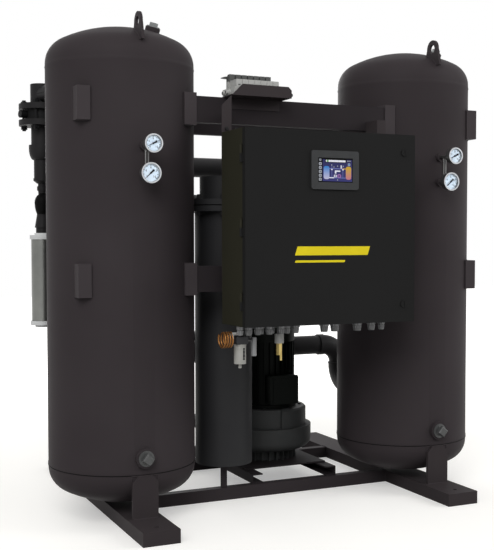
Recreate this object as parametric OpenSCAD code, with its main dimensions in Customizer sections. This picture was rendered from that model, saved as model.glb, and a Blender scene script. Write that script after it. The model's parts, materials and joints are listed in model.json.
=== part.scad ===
// Twin-tower heated blower-purge desiccant air dryer on a skid.
// Millimetres. X runs to the right, Y to the back, Z up. The origin is on the floor at the centre
// of the four anchor holes. Places marked "ahead" are measured from the tower plane towards the front.

/* [Skid] */
// Length of the two skid rails, front to back
rail_length = 1392; // [1300:1:1500]
// Width of a skid rail
rail_width = 137; // [110:1:160]
// Height of a skid rail
rail_height = 50; // [44:1:60]
// Wall of the rails
rail_wall = 6; // [4:0.5:9]
// From the front ends of the rails to the tower axes
tower_setback = 464.5; // [440:0.5:490]
// Diameter of the four anchor holes
anchor_d = 18; // [14:1:22]
// From the rail ends to the anchor holes
anchor_inset = 58; // [45:1:75]
// Depth of a cross member, front to back
cross_depth = 38; // [30:1:48]
// Wall of the cross members and channels
section_wall = 5; // [3:0.5:7]
// From the tower plane back to the front cross member
front_cross_back = 12; // [0:1:30]
// From the tower plane back to the middle cross member
middle_cross_back = 564; // [540:1:590]
// From the rear ends of the rails to the rear cross member
rear_cross_inset = 60; // [40:1:90]

/* [Towers] */
// Distance between the two tower axes
tower_spacing = 1264; // [1240:1:1300]
// Outside diameter of a tower
tower_d = 558.8; // [545:0.1:572]
// Wall of a tower
tower_wall = 8; // [6:0.5:10]
// Height of the lower tangent line
tangent_low = 200; // [194:1:215]
// Height of the upper tangent line
tangent_high = 1717; // [1690:1:1745]
// Crown radius of a head over the tower diameter
crown_ratio = 0.9; // [0.85:0.01:0.95]
// Knuckle radius of a head over the tower diameter
knuckle_ratio = 0.17; // [0.15:0.01:0.19]
// Height of the weld seams from the tangent lines
seam_offset = 15; // [10:1:25]
// Width of a tower leg
leg_width = 97; // [80:1:115]
// Thickness of a tower leg
leg_thickness = 14; // [10:1:18]
// How far a leg stands ahead of the tower's own front
leg_proud = 6.6; // [4:0.1:9]
// How far a leg reaches above the lower tangent line
leg_rise = 5; // [0:1:12]
// Corner cut at the top of a leg
leg_chamfer = 22; // [12:1:30]
// Angle of the mounting pads from straight ahead
pad_angle = 46; // [44:0.5:48]
// Width of a mounting pad
pad_width = 48; // [40:1:56]
// Height of a mounting pad
pad_height = 120; // [110:1:130]
// How far a pad's face stands ahead of the shell
pad_proud = 31; // [26:1:36]
// Height of the lower pads' centre
pad_low = 911; // [895:1:925]
// Height of the upper pads' centre
pad_high = 1543; // [1530:1:1556]

/* [Lugs, ports and gauges] */
// Thickness of a lifting lug
lug_thickness = 10; // [8:1:16]
// Hole in a lifting lug
lug_hole_d = 36; // [30:1:40]
// Radius of the lug's rounded top
lug_radius = 36; // [32:1:42]
// Width of the lug at its foot
lug_foot = 112; // [95:1:125]
// From the tower's side in to the lug hole
lug_inset = 49; // [40:1:60]
// Height of the lug hole above the upper tangent line
lug_rise = 125; // [115:1:135]
// From the tower axis out to the fill port
fill_offset = 136; // [120:1:150]
// Outside diameter of the fill port coupling
fill_d = 56; // [50:1:62]
// Height of the fill port coupling above the dome
fill_height = 16; // [12:1:22]
// Height of the drain port above the lower tangent line
drain_rise = 70; // [62:1:85]
// Outside diameter of the drain coupling
drain_d = 74; // [66:1:80]
// How far the drain coupling stands ahead of the shell
drain_proud = 16; // [12:1:24]
// Diameter of the upper gauges
upper_gauge_d = 66; // [60:1:70]
// Diameter of the lower gauges
lower_gauge_d = 73; // [66:1:78]
// Height of the upper gauges
upper_gauge_z = 1393; // [1385:1:1402]
// Height of the lower gauges
lower_gauge_z = 1292; // [1284:1:1300]
// From the shell to the face of an upper gauge
upper_gauge_reach = 119; // [105:1:130]
// From the shell to the face of a lower gauge
lower_gauge_reach = 91; // [80:1:100]

/* [Tie beams and valve tray] */
// Height of a tie beam
beam_height = 97; // [85:1:105]
// Depth of a tie beam
beam_depth = 40; // [32:1:46]
// How far the beam's face lies behind the pad's face
beam_recess = 4; // [2:1:8]
// Thickness of the bent straps and of the tray
sheet = 3; // [2:0.5:4]
// From the beam's face to the back of the cabinet
cabinet_standoff = 84; // [70:1:95]
// Width of a strap behind the cabinet
strap_width = 39; // [32:1:46]
// Width of the valve tray
tray_width = 286; // [275:1:300]
// Height of the tray's front lip
lip_height = 42; // [36:1:48]
// Number of valves on the manifold
valve_count = 7; // [5:1:7]
// Spacing of the valves
valve_pitch = 25; // [24:0.5:27]

/* [Cabinet] */
// Width of the cabinet
cabinet_w = 700; // [680:1:720]
// Height of the cabinet
cabinet_h = 702; // [680:1:720]
// Depth of the cabinet's box
cabinet_depth = 187; // [170:1:200]
// Wall of the cabinet
cabinet_wall = 2.5; // [2:0.25:3]
// From the middle of the machine to the middle of the cabinet
cabinet_shift = 10; // [0:1:20]
// Height of the cabinet's bottom
cabinet_z = 749; // [740:1:756]
// Depth of the door
door_depth = 24.5; // [20:0.5:30]
// Width of the inward lip round the cabinet's opening
lip_width = 18; // [14:1:22]
// Width of the display bezel
bezel_w = 195; // [180:1:210]
// Height of the display bezel
bezel_h = 140; // [130:1:150]
// Width of the lit part of the display
screen_w = 143; // [130:1:155]
// Height of the lit part of the display
screen_h = 88; // [80:1:96]
// From the middle of the machine to the display's middle
screen_x = 15; // [0:1:30]
// From the cabinet's top down to the display's middle
screen_drop = 141; // [125:1:155]
// From the door's free edge in to the latches
latch_inset = 47; // [40:1:56]
// From the door's top and bottom to the latches
latch_end = 67; // [60:1:80]

/* [Heater] */
// Outside diameter of the heater shell
heater_d = 230; // [222:1:234]
// From the machine's middle to the heater axis
heater_x = -196; // [-198:1:-188]
// From the tower plane back to the heater axis
heater_back = 30; // [26:1:34]
// Height of the heater's bottom
heater_z = 158; // [150:1:166]
// Height of the heater's upper flange joint
heater_joint_z = 1194; // [1180:1:1206]
// Diameter of the heater flanges
heater_flange_d = 308; // [300:1:312]
// Thickness of a heater flange
heater_flange_t = 22; // [18:1:26]

/* [Blower] */
// From the machine's middle to the blower axis
blower_x = 128; // [120:1:136]
// From the tower plane back to the blower axis
blower_back = 350; // [340:1:360]
// Diameter of the blower drum
drum_d = 427; // [410:1:430]
// Height of the blower drum
drum_h = 100; // [94:1:108]
// Diameter of the motor over its fins
motor_d = 280; // [260:1:290]
// Length of the motor
motor_l = 360; // [330:1:390]
// Height of the channels under the blower
channel_h = 38; // [32:1:44]
// Width of the channels under the blower
channel_w = 48; // [40:1:56]
// Distance over the outsides of the two channels
channel_span = 392; // [384:1:400]

/* [Piping] */
// Outside diameter of the main pipes
pipe_d = 88.9; // [84:0.1:92]
// Wall of the pipes
pipe_wall = 5.5; // [4:0.5:7]
// Outside diameter of the hot purge pipe
purge_d = 76.1; // [70:0.1:80]
// From the tower plane back to the outlet header and the stacks
header_back = 600; // [585:1:615]
// From the tower plane back to the inlet header
inlet_back = 563; // [555:1:575]
// Height of the outlet header
outlet_z = 1388; // [1380:1:1404]
// Height of the inlet header
inlet_z = 553; // [540:1:560]
// From the tower plane back to the purge header
purge_back = 420; // [410:1:430]
// Height of the purge header
purge_z = 1215; // [1205:1:1225]
// Diameter of a pipe flange
flange_d = 190; // [180:1:198]
// Thickness of a pipe flange
flange_t = 24; // [20:1:28]
// Bolt circle of a pipe flange
flange_bolt_circle = 152.4; // [146:0.1:156]
// Diameter of the bolt holes in a pipe flange
flange_hole_d = 19; // [17:1:21]
// Thickness of a wafer valve
wafer_t = 44; // [38:1:50]
// From the machine's middle to the inlet valves
inlet_valve_x = 268; // [262:1:275]
// From the machine's middle to the outlet and purge check valves
check_valve_x = 400; // [385:1:415]
// From the machine's middle to the outlet flange
outlet_branch_x = 250; // [235:1:262]
// From the tower axis outward to the exhaust stack
stack_out = 165; // [155:1:175]
// Height of the stack's capped top
stack_top = 1718; // [1708:1:1728]
// Height of the stack's valve
stack_valve_z = 1587; // [1578:1:1596]
// Diameter of a muffler
muffler_d = 97; // [90:1:104]
// Length of a muffler
muffler_l = 402; // [380:1:420]

/* [Hidden] */

$fn = 48;
fit = 0.3;
paint = [0.22, 0.21, 0.21];
black = [0.11, 0.11, 0.11];
steel = [0.72, 0.72, 0.70];
ivory = [0.88, 0.87, 0.82];

tower_y = tower_setback - rail_length / 2;
tower_r = tower_d / 2;
tower_x = tower_spacing / 2;
sides = [-1, 1];

// Dished heads: a crown arc and a knuckle arc that meet on one tangent
crown_r = crown_ratio * tower_d;
knuckle_r = knuckle_ratio * tower_d;
crown_drop = sqrt(pow(crown_r - knuckle_r, 2) - pow(tower_r - knuckle_r, 2));
meet_angle = atan2(crown_drop, tower_r - knuckle_r);
seam_h = 1.5;
seam_w = 6;
seam_low = tangent_low + seam_offset;
seam_high = tangent_high - seam_offset;

pad_x = tower_r * sin(pad_angle);
pad_face = tower_r * cos(pad_angle) + pad_proud;
beam_face = pad_face - beam_recess;
beam_half = tower_x - pad_x - pad_width / 2;
beam_top = pad_high + beam_height / 2;
cabinet_back = beam_face + cabinet_standoff;
cabinet_x0 = cabinet_shift - cabinet_w / 2;
cabinet_x1 = cabinet_shift + cabinet_w / 2;
cabinet_top = cabinet_z + cabinet_h;
box_front = cabinet_back + cabinet_depth;
door_gap = 0.5;
door_front = box_front + door_gap + door_depth;
screen_z = cabinet_top - screen_drop;
latch_x = cabinet_x1 - latch_inset;
latch_zs = [cabinet_top - latch_end, cabinet_z + latch_end];

pipe_r = pipe_d / 2;
purge_r = purge_d / 2;
header_front = tower_r + fit;
plate_t = 6;
plate_z = rail_height + channel_h;
drum_z = plate_z + plate_t + 46;
housing_z = drum_z + drum_h;
adapter_h = 81;
motor_z = housing_z + adapter_h;
stack_x = tower_x + stack_out;

// Frames and small shapes

module at_towers() translate([0, tower_y, 0]) children();

module each_tower() for (s = sides) translate([s * tower_x, tower_y, 0]) children();

// A cylinder along X, along Y towards the back, or along Y towards the front
module rod_x(r, x0, x1) translate([x0, 0, 0]) rotate([0, 90, 0]) cylinder(r = r, h = x1 - x0);
module rod_y(r, y0, y1) translate([0, y0, 0]) rotate([-90, 0, 0]) cylinder(r = r, h = y1 - y0);

// A box given by its two corners
module span(a, b) translate(a) cube(b - a);

function arc(c, r, a0, a1, n) = [for (i = [0:n]) let (a = a0 + (a1 - a0) * i / n) c + r * [cos(a), sin(a)]];

function drop_first(v) = [for (i = [1:len(v) - 1]) v[i]];
function flip(v) = [for (i = [len(v) - 1:-1:0]) v[i]];
function lift(v, z) = [for (p = v) [p[0], p[1] + z]];
function sink(v, z) = [for (p = v) [p[0], z - p[1]]];
function bead(z) = [[tower_r, z + seam_w], [tower_r + seam_h, z], [tower_r, z - seam_w]];
// Outline of a dished head from its axis to its rim, and of a whole tower, both shrunk by t
function crown_points(t) = concat(arc([0, -crown_drop], crown_r - t, 90, meet_angle, 8),
    drop_first(arc([tower_r - knuckle_r, 0], knuckle_r - t, meet_angle, 0, 8)));
function vessel_outline(t) =
    concat(lift(crown_points(t), tangent_high), flip(sink(crown_points(t), tangent_low)));

// The solid that a tower fills, grown outward by g
module tower_envelope(g) rotate_extrude() polygon(vessel_outline(-g));

module tower_body() {
    rotate_extrude()
        polygon(concat(lift(crown_points(0), tangent_high), bead(seam_high), bead(seam_low),
            flip(sink(crown_points(0), tangent_low))));
}

// Slope of the dome where the fill port stands, and its height there
fill_tilt = asin(fill_offset / crown_r);
fill_z = tangent_high - crown_drop + crown_r * cos(fill_tilt);
fill_turn = -45;

module at_fill_port()
    rotate([0, 0, fill_turn]) translate([fill_offset, 0, fill_z]) rotate([0, fill_tilt, 0]) children();

drain_z = tangent_low + drain_rise;
fill_bore_r = fill_d / 2 - 8;
drain_bore_r = drain_d / 2 - 11;

module tower() {
    difference() {
        union() {
            tower_body();
            at_fill_port() translate([0, 0, -tower_wall]) cylinder(d = fill_d, h = tower_wall + fill_height);
            translate([0, 0, drain_z]) rod_y(drain_d / 2, -tower_r - drain_proud, -tower_r + tower_wall);
        }
        rotate_extrude() polygon(vessel_outline(tower_wall));
        at_fill_port() translate([0, 0, -40]) cylinder(r = fill_bore_r, h = 40 + fill_height + 1);
        translate([0, 0, drain_z]) rod_y(drain_bore_r, -tower_r - drain_proud - 1, -tower_r + 60);
    }
}

// Skid

module skid_rail(s) {
    translate([s * tower_x, 0, 0]) difference() {
        span([-rail_width / 2, -rail_length / 2, 0], [rail_width / 2, rail_length / 2, rail_height]);
        span([-rail_width / 2 + rail_wall, -rail_length / 2 + rail_wall, rail_wall],
            [rail_width / 2 - rail_wall, rail_length / 2 - rail_wall, rail_height - rail_wall]);
        for (e = sides) translate([0, e * (rail_length / 2 - anchor_inset), -1])
            cylinder(d = anchor_d, h = rail_height + 2);
    }
}

module left_skid_rail() color(paint) skid_rail(-1);
module right_skid_rail() color(paint) skid_rail(1);

cross_half = tower_x - rail_width / 2;

module cross_member(y) {
    difference() {
        span([-cross_half, y, 0], [cross_half, y + cross_depth, rail_height]);
        span([-cross_half - 1, y + section_wall, section_wall],
            [cross_half + 1, y + cross_depth - section_wall, rail_height - section_wall]);
    }
}

front_cross_y = tower_y + front_cross_back;
middle_cross_y = tower_y + middle_cross_back;
rear_cross_y = rail_length / 2 - rear_cross_inset - cross_depth;

module front_cross_member() color(paint) cross_member(front_cross_y);
module middle_cross_member() color(paint) cross_member(middle_cross_y);
module rear_cross_member() color(paint) cross_member(rear_cross_y);

// Two channels laid on the cross members, open towards each other
module blower_channels() {
    color(paint) for (s = sides) translate([blower_x, 0, rail_height]) {
        x_out = s * channel_span / 2;
        x_in = s * (channel_span / 2 - channel_w);
        web_x = x_out - s * section_wall;
        difference() {
            span([min(x_out, x_in), front_cross_y + cross_depth / 2, 0],
                [max(x_out, x_in), middle_cross_y + cross_depth / 2, channel_h]);
            span([min(web_x, x_in - s), front_cross_y - 1, section_wall],
                [max(web_x, x_in - s), middle_cross_y + cross_depth, channel_h - section_wall]);
        }
    }
}

plate_half = channel_span / 2 - section_wall;
plate_front = tower_y + blower_back - drum_d / 2 - 19;
plate_rear = tower_y + blower_back + drum_d / 2 - 20;

// Plate across the channels under the blower
module blower_plate()
    color(paint) translate([blower_x, 0, 0])
        span([-plate_half, plate_front, plate_z], [plate_half, plate_rear, plate_z + plate_t]);

// Flat bar from the front cross member up to the heater's bottom
module heater_leg() {
    bar = 24;
    color(paint) translate([heater_x, tower_y + heater_back, 0])
        span([-bar / 2, -6, rail_height], [bar / 2, 6, heater_z]);
}

// Towers

module left_tower() color(paint) translate([-tower_x, tower_y, 0]) tower();
module right_tower() color(paint) translate([tower_x, tower_y, 0]) tower();

// Chamfered plate at the front and the back of each tower, scribed to the lower head
module leg() {
    y0 = -tower_r - leg_proud;
    top = tangent_low + leg_rise;
    difference() {
        translate([0, y0 + leg_thickness, 0]) rotate([90, 0, 0]) linear_extrude(leg_thickness)
            polygon([[-leg_width / 2, rail_height], [leg_width / 2, rail_height],
                [leg_width / 2, top - leg_chamfer], [leg_width / 2 - leg_chamfer, top],
                [leg_chamfer - leg_width / 2, top], [-leg_width / 2, top - leg_chamfer]]);
        tower_envelope(fit);
    }
}

module tower_legs() color(paint) each_tower() for (a = [0, 180]) rotate([0, 0, a]) leg();

// Blocks on the diagonals that carry the tie beams
module pad(s, e, z) {
    difference() {
        translate([s * pad_x - pad_width / 2, e > 0 ? 60 : -pad_face, z - pad_height / 2])
            cube([pad_width, pad_face - 60, pad_height]);
        cylinder(r = tower_r + fit, h = 2 * tangent_high);
    }
}

module mounting_pads()
    color(paint) each_tower() for (s = sides, e = sides, z = [pad_low, pad_high]) pad(s, e, z);

lug_y = -(tower_r - lug_inset);
lug_z = tangent_high + lug_rise;

// Plate in the front to back plane with a rounded top, scribed to the dome
module lug() {
    foot_drop = 70;
    difference() {
        translate([-lug_thickness / 2, 0, 0]) rotate([90, 0, 90]) linear_extrude(lug_thickness) {
            translate([lug_y, lug_z]) circle(r = lug_radius);
            polygon([[lug_y - lug_radius, lug_z], [lug_y + lug_radius, lug_z],
                [lug_y + lug_foot / 2, lug_z - foot_drop], [lug_y - lug_foot / 2, lug_z - foot_drop]]);
        }
        translate([0, lug_y, lug_z]) rod_x(lug_hole_d / 2, -lug_thickness, lug_thickness);
        tower_envelope(fit);
    }
}

module lifting_lugs() color(paint) each_tower() lug();

// Threaded plugs with a hexagon on the fill ports
module fill_plugs() {
    shank = 20;
    head = 13;
    color(steel) each_tower() at_fill_port() {
        translate([0, 0, fill_height - shank]) cylinder(r = fill_bore_r - fit, h = shank);
        translate([0, 0, fill_height]) cylinder(r = fill_d / 2 - 3, h = 4);
        translate([0, 0, fill_height + 4]) cylinder(r = fill_bore_r - 2, h = head, $fn = 6);
    }
}

// Threaded plugs with a square head set cornerwise on the drain ports
module drain_plugs() {
    shank = 22;
    head = 30;
    face = -tower_r - drain_proud;
    color(paint) each_tower() translate([0, 0, drain_z]) {
        rod_y(drain_bore_r - fit, face, face + shank);
        rod_y(drain_bore_r + 3, face - 5, face);
        translate([0, face - 5, 0]) rotate([90, 0, 0]) cylinder(r = head / 2, h = 14, $fn = 4);
    }
}

bed_low = tangent_low + 60;
bed_high = tangent_high - 90;
bed_r = tower_r - tower_wall - fit;
screen_t = 6;

// Bead bed between the support screens, with room round the drain bore
module desiccant() {
    difference() {
        translate([0, 0, bed_low + screen_t]) cylinder(r = bed_r, h = bed_high - bed_low - screen_t);
        translate([0, 0, drain_z]) rod_y(drain_bore_r + 1, -tower_r, -tower_r + 70);
    }
}

module left_desiccant() color(ivory) translate([-tower_x, tower_y, 0]) desiccant();
module right_desiccant() color(ivory) translate([tower_x, tower_y, 0]) desiccant();

// Perforated discs that the beds lie on
module bed_screens() {
    pitch = 60;
    rows = 3;
    color(steel) each_tower() difference() {
        translate([0, 0, bed_low]) cylinder(r = bed_r, h = screen_t);
        for (i = [-rows:rows], j = [-rows:rows])
            translate([i * pitch, j * pitch, bed_low - 1]) cylinder(r = 9, h = screen_t + 2);
        translate([0, 0, drain_z]) rod_y(drain_bore_r + 1, -tower_r, -tower_r + 70);
    }
}

// Gauges

case_depth = 30;
stem_r = 8;
dial_back = 9;
pin_r = 1.5;
gauges = [[upper_gauge_d, upper_gauge_z, upper_gauge_reach], [lower_gauge_d, lower_gauge_z, lower_gauge_reach]];

function gauge_y(g) = -tower_r - g[2];

module at_gauge(s, g) translate([s * tower_x, tower_y + gauge_y(g), g[1]]) children();

// Stems from the shell to both gauges of a tower, joined by two thin tubes
module gauge_stems() {
    tube_r = 3;
    tube_gap = 5;
    tube_y = -tower_r - 40;
    color(steel) each_tower() difference() {
        union() {
            for (g = gauges) translate([0, 0, g[1]]) {
                rod_y(stem_r, gauge_y(g) + case_depth, -tower_r + 20);
                rod_y(2 * stem_r, -tower_r - 14, -tower_r + 20);
            }
            for (s = sides) translate([s * tube_gap, tube_y, lower_gauge_z])
                cylinder(r = tube_r, h = upper_gauge_z - lower_gauge_z);
        }
        cylinder(r = tower_r + fit, h = 2 * tangent_high);
    }
}

// Cup with a rolled bezel, open to the front
module gauge_case(d) {
    difference() {
        union() {
            rod_y(d / 2 - 2, 4, case_depth);
            rod_y(d / 2, 0, 8);
        }
        rod_y(d / 2 - 5, -1, case_depth - 4);
    }
}

module gauge_dial(d) {
    difference() {
        rod_y(d / 2 - 5 - fit, dial_back, case_depth - 4);
        rod_y(pin_r + fit, dial_back - 1, case_depth);
    }
}

module gauge_glass(d) rod_y(d / 2 - 5 - fit, 1, 3);

// Needle on its hub, with a short tail and a pin through the dial, pointing along its own +Z
module pointer(d, turn) {
    rotate([0, turn, 0]) {
        rod_y(pin_r, dial_back - fit, dial_back + 10);
        rod_y(3.5, dial_back - 3.5, dial_back - fit);
        translate([0, dial_back - 1.5, 0]) rotate([90, 0, 0]) linear_extrude(1.2)
            polygon([[-2, -d * 0.12], [2, -d * 0.12], [0.7, d * 0.33], [-0.7, d * 0.33]]);
    }
}

upper_rest_turn = -117;
lower_rest_turn = -134;

module gauge_cases() color(steel) for (s = sides, g = gauges) at_gauge(s, g) gauge_case(g[0]);
module gauge_dials() color("white") for (s = sides, g = gauges) at_gauge(s, g) gauge_dial(g[0]);
module gauge_glasses() color([0.9, 0.95, 1, 0.3]) for (s = sides, g = gauges) at_gauge(s, g) gauge_glass(g[0]);
module left_upper_pointer() color("navy") at_gauge(-1, gauges[0]) pointer(upper_gauge_d, upper_rest_turn);
module left_lower_pointer() color("dimgray") at_gauge(-1, gauges[1]) pointer(lower_gauge_d, lower_rest_turn);
module right_upper_pointer() color("navy") at_gauge(1, gauges[0]) pointer(upper_gauge_d, upper_rest_turn);
module right_lower_pointer() color("dimgray") at_gauge(1, gauges[1]) pointer(lower_gauge_d, lower_rest_turn);

// Tie beams, straps and valve tray

// Channel with its back to the outside of the machine
module tie_beam(z) {
    translate([0, 0, z]) difference() {
        span([-beam_half, -beam_face, -beam_height / 2], [beam_half, beam_depth - beam_face, beam_height / 2]);
        span([-beam_half - 1, section_wall - beam_face, section_wall - beam_height / 2],
            [beam_half + 1, beam_depth - beam_face + 1, beam_height / 2 - section_wall]);
    }
}

module front_tie_beams() color(paint) at_towers() for (z = [pad_low, pad_high]) tie_beam(z);
module rear_tie_beams() color(paint) at_towers() rotate([0, 0, 180]) for (z = [pad_low, pad_high]) tie_beam(z);

strap_low = pad_low - beam_height / 2;
strap_high = pad_high - 14;

// Angle strap that holds the cabinet ahead of the beams; the left one rises into the tray's cut corner
module strap(s) {
    x_out = s < 0 ? cabinet_x0 : cabinet_x1;
    x_in = x_out - s * strap_width;
    x_web = x_in + s * sheet;
    translate([min(x_out, x_in), -cabinet_back, strap_low]) cube([strap_width, sheet, strap_high - strap_low]);
    translate([min(x_web, x_in), -cabinet_back, strap_low])
        cube([sheet, cabinet_standoff, strap_high - strap_low]);
}

module cabinet_straps() {
    color(paint) at_towers() {
        for (s = sides) strap(s);
        translate([0, sheet - cabinet_back, 0]) rotate([90, 0, 0]) linear_extrude(sheet)
            polygon([[cabinet_x0, strap_high], [cabinet_x0 + strap_width, strap_high],
                [cabinet_x0 + strap_width, beam_top - max(lip_height - strap_width, fit)],
                [cabinet_x0, beam_top - lip_height]]);
    }
}

tray_x0 = cabinet_x0 + lip_height;
tray_x1 = cabinet_x0 + tray_width;
tray_back = beam_face - beam_depth;

// Tray on the upper beam: a floor, an upturned front lip with a cut corner and a hook ahead of the beam
module valve_tray() {
    hook = 41;
    hook_inset = 30;
    lip_round = 13;
    color(paint) at_towers() {
        span([tray_x0, -cabinet_back, beam_top], [tray_x1, -tray_back, beam_top + sheet]);
        translate([0, sheet - cabinet_back, beam_top]) rotate([90, 0, 0]) linear_extrude(sheet) {
            polygon([[tray_x0, 0], [tray_x1, 0], [tray_x1, lip_height - lip_round],
                [tray_x1 - lip_round, lip_height], [tray_x0 + lip_height, lip_height]]);
        }
        span([tray_x0 + hook_inset, -beam_face - sheet, beam_top - hook],
            [tray_x1 - lip_round, -beam_face, beam_top]);
    }
}

valve_x0 = cabinet_x0 + strap_width + 18;
valve_front = cabinet_back - 14;
base_depth = 114;
valve_depth = 61;
rear_gap = 15;
rear_depth = 20;
base_h = 30;
valve_h = 28;
coil_depth = 32;
coil_h = 27;
manifold_end = 7;
valve_top = beam_top + sheet + base_h + valve_h;

// Manifold block with its row of valve bodies and the pilot block behind them
module valve_manifold() {
    row = valve_count * valve_pitch;
    z0 = beam_top + sheet;
    color(ivory) at_towers() translate([valve_x0, -valve_front, z0]) {
        cube([2 * manifold_end + row, base_depth, base_h]);
        for (i = [0:valve_count - 1]) translate([manifold_end + i * valve_pitch + 0.6, 0, base_h])
            cube([valve_pitch - 1.2, valve_depth, valve_h]);
        translate([manifold_end, valve_depth + rear_gap, base_h]) cube([row, rear_depth, valve_h]);
    }
}

// Coils that stand on the pilot block, each with its top falling away to the back
module solenoid_coils() {
    coil_w = valve_pitch - 4;
    back_drop = 13;
    coil_y = valve_depth + rear_gap - 8 - valve_front;
    color([0.45, 0.45, 0.45]) at_towers() for (i = [0:valve_count - 1])
        translate([valve_x0 + manifold_end + i * valve_pitch + 2, coil_y, valve_top])
            rotate([90, 0, 90]) linear_extrude(coil_w)
                polygon([[0, 0], [coil_depth, 0], [coil_depth, coil_h - back_drop],
                    [coil_depth - back_drop, coil_h], [0, coil_h]]);
}

// Cabinet

module cabinet_box() {
    color(black) at_towers() {
        difference() {
            span([cabinet_x0, -box_front, cabinet_z], [cabinet_x1, -cabinet_back, cabinet_top]);
            span([cabinet_x0 + cabinet_wall, cabinet_wall - box_front, cabinet_z + cabinet_wall],
                [cabinet_x1 - cabinet_wall, -cabinet_back - cabinet_wall, cabinet_top - cabinet_wall]);
            span([cabinet_x0 + lip_width, -box_front - 1, cabinet_z + lip_width],
                [cabinet_x1 - lip_width, -box_front + 2 * cabinet_wall, cabinet_top - lip_width]);
            for (g = glands) at_gland(g) translate([0, 0, -1]) cylinder(r = g[1] + fit, h = cabinet_wall + 2);
        }
        for (z = hinge_zs) hinge_half(z, 1);
    }
}

hinge_r = 5;
hinge_pin_r = 2.4;
hinge_x = cabinet_x0 - hinge_r - 0.5;
hinge_y = -box_front - door_gap / 2;
hinge_h = 60;
hinge_zs = [cabinet_z + 90, cabinet_z + cabinet_h / 2, cabinet_top - 90];

// One knuckle with its short leaf: side 1 on the box and above, side -1 on the door and below
module hinge_half(z, side) {
    z0 = side > 0 ? z + fit : z - hinge_h / 2;
    half = hinge_h / 2 - fit;
    difference() {
        union() {
            translate([hinge_x, hinge_y, z0]) cylinder(r = hinge_r, h = half);
            translate([hinge_x, side > 0 ? hinge_y + door_gap / 2 : hinge_y - 8, z0])
                cube([hinge_r + 0.5, side > 0 ? 8 : 8 - door_gap / 2, half]);
        }
        translate([hinge_x, hinge_y, z0 - 1]) cylinder(r = hinge_pin_r + fit, h = half + 2);
    }
}

module hinge_pins()
    color(steel) at_towers() for (z = hinge_zs)
        translate([hinge_x, hinge_y, z - hinge_h / 2 - 2]) {
            cylinder(r = hinge_pin_r, h = hinge_h + 2.6);
            translate([0, 0, hinge_h + 2 + fit]) cylinder(r = hinge_r - 1, h = 2);
        }

latch_shaft_r = 8;
cut_w = bezel_w - 40;
cut_h = bezel_h - 34;
door_back = box_front + door_gap;

// Folded pan with openings for the display and the two latches
module cabinet_door() {
    color(black) at_towers() {
        difference() {
            span([cabinet_x0, -door_front, cabinet_z], [cabinet_x1, -door_back, cabinet_top]);
            span([cabinet_x0 + cabinet_wall, cabinet_wall - door_front, cabinet_z + cabinet_wall],
                [cabinet_x1 - cabinet_wall, 1 - door_back, cabinet_top - cabinet_wall]);
            translate([screen_x - cut_w / 2, -door_front - 1, screen_z - cut_h / 2])
                cube([cut_w, cabinet_wall + 2, cut_h]);
            for (z = latch_zs) translate([latch_x, 0, z])
                rod_y(latch_shaft_r + fit, -door_front - 1, cabinet_wall + 1 - door_front);
        }
        for (z = hinge_zs) hinge_half(z, -1);
    }
}

// Foam strip inside the door that meets the cabinet's lip
module door_gasket() {
    inset = 4;
    strip = 11;
    a = cabinet_wall + inset;
    b = a + strip;
    color([0.2, 0.2, 0.2]) at_towers() difference() {
        span([cabinet_x0 + a, cabinet_wall - door_front, cabinet_z + a],
            [cabinet_x1 - a, -box_front - fit, cabinet_top - a]);
        span([cabinet_x0 + b, -door_front, cabinet_z + b], [cabinet_x1 - b, -box_front + 1, cabinet_top - b]);
    }
}

cam_reach = latch_inset - 6;
cam_back = box_front - cabinet_wall - 1;
cam_t = 5;

// Slotted quarter-turn head, its shaft and the cam behind the cabinet's lip
module latch(z) {
    head_r = 14;
    head_t = 4;
    at_towers() translate([latch_x, 0, z]) {
        difference() {
            rod_y(head_r, -door_front - head_t, -door_front);
            span([-1.6, -door_front - head_t - 1, -head_r + 3], [1.6, -door_front - head_t + 2, head_r - 3]);
        }
        rod_y(latch_shaft_r, -door_front, cam_t - cam_back);
        span([-7, -cam_back, -cam_reach], [7, cam_t - cam_back, 0]);
    }
}

module upper_latch() color(black) latch(latch_zs[0]);
module lower_latch() color(black) latch(latch_zs[1]);

bezel_t = 7;
screen_t_glass = 2;

module rounded_plate(w, h, r, t) rotate([90, 0, 0]) linear_extrude(t) {
    square([w - 2 * r, h], center = true);
    square([w, h - 2 * r], center = true);
    for (s = sides, e = sides) translate([s * (w / 2 - r), e * (h / 2 - r)]) circle(r = r);
}

// Panel display: rounded bezel ahead of the door and its case behind the cutout
module display_bezel() {
    case_d = 40;
    recess = 3;
    color([0.4, 0.4, 0.42]) at_towers() translate([screen_x, -door_front, screen_z]) difference() {
        union() {
            rounded_plate(bezel_w, bezel_h, 9, bezel_t);
            span([-cut_w / 2 + 1, 0, -cut_h / 2 + 1], [cut_w / 2 - 1, case_d, cut_h / 2 - 1]);
        }
        span([-screen_w / 2, -bezel_t - 1, -screen_h / 2], [screen_w / 2, recess - bezel_t, screen_h / 2]);
    }
}

module display_screen()
    color("slateblue") at_towers() translate([screen_x, -door_front - bezel_t, screen_z])
        span([fit - screen_w / 2, 3 - screen_t_glass, fit - screen_h / 2],
            [screen_w / 2 - fit, 3, screen_h / 2 - fit]);

panel_gap = 15;
panel_y = -cabinet_back - cabinet_wall - panel_gap;
panel_margin = 45;
panel_t = 3;

// Mounting plate on four posts inside the cabinet's back
module panel_plate() {
    color([0.8, 0.8, 0.78]) at_towers() {
        span([cabinet_x0 + panel_margin, panel_y - panel_t, cabinet_z + panel_margin],
            [cabinet_x1 - panel_margin, panel_y, cabinet_top - panel_margin]);
        for (s = sides, z = [cabinet_z + panel_margin + 20, cabinet_top - panel_margin - 20])
            translate([cabinet_shift + s * (cabinet_w / 2 - panel_margin - 20), 0, z])
                rod_y(6, panel_y, panel_y + panel_gap);
    }
}

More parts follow.
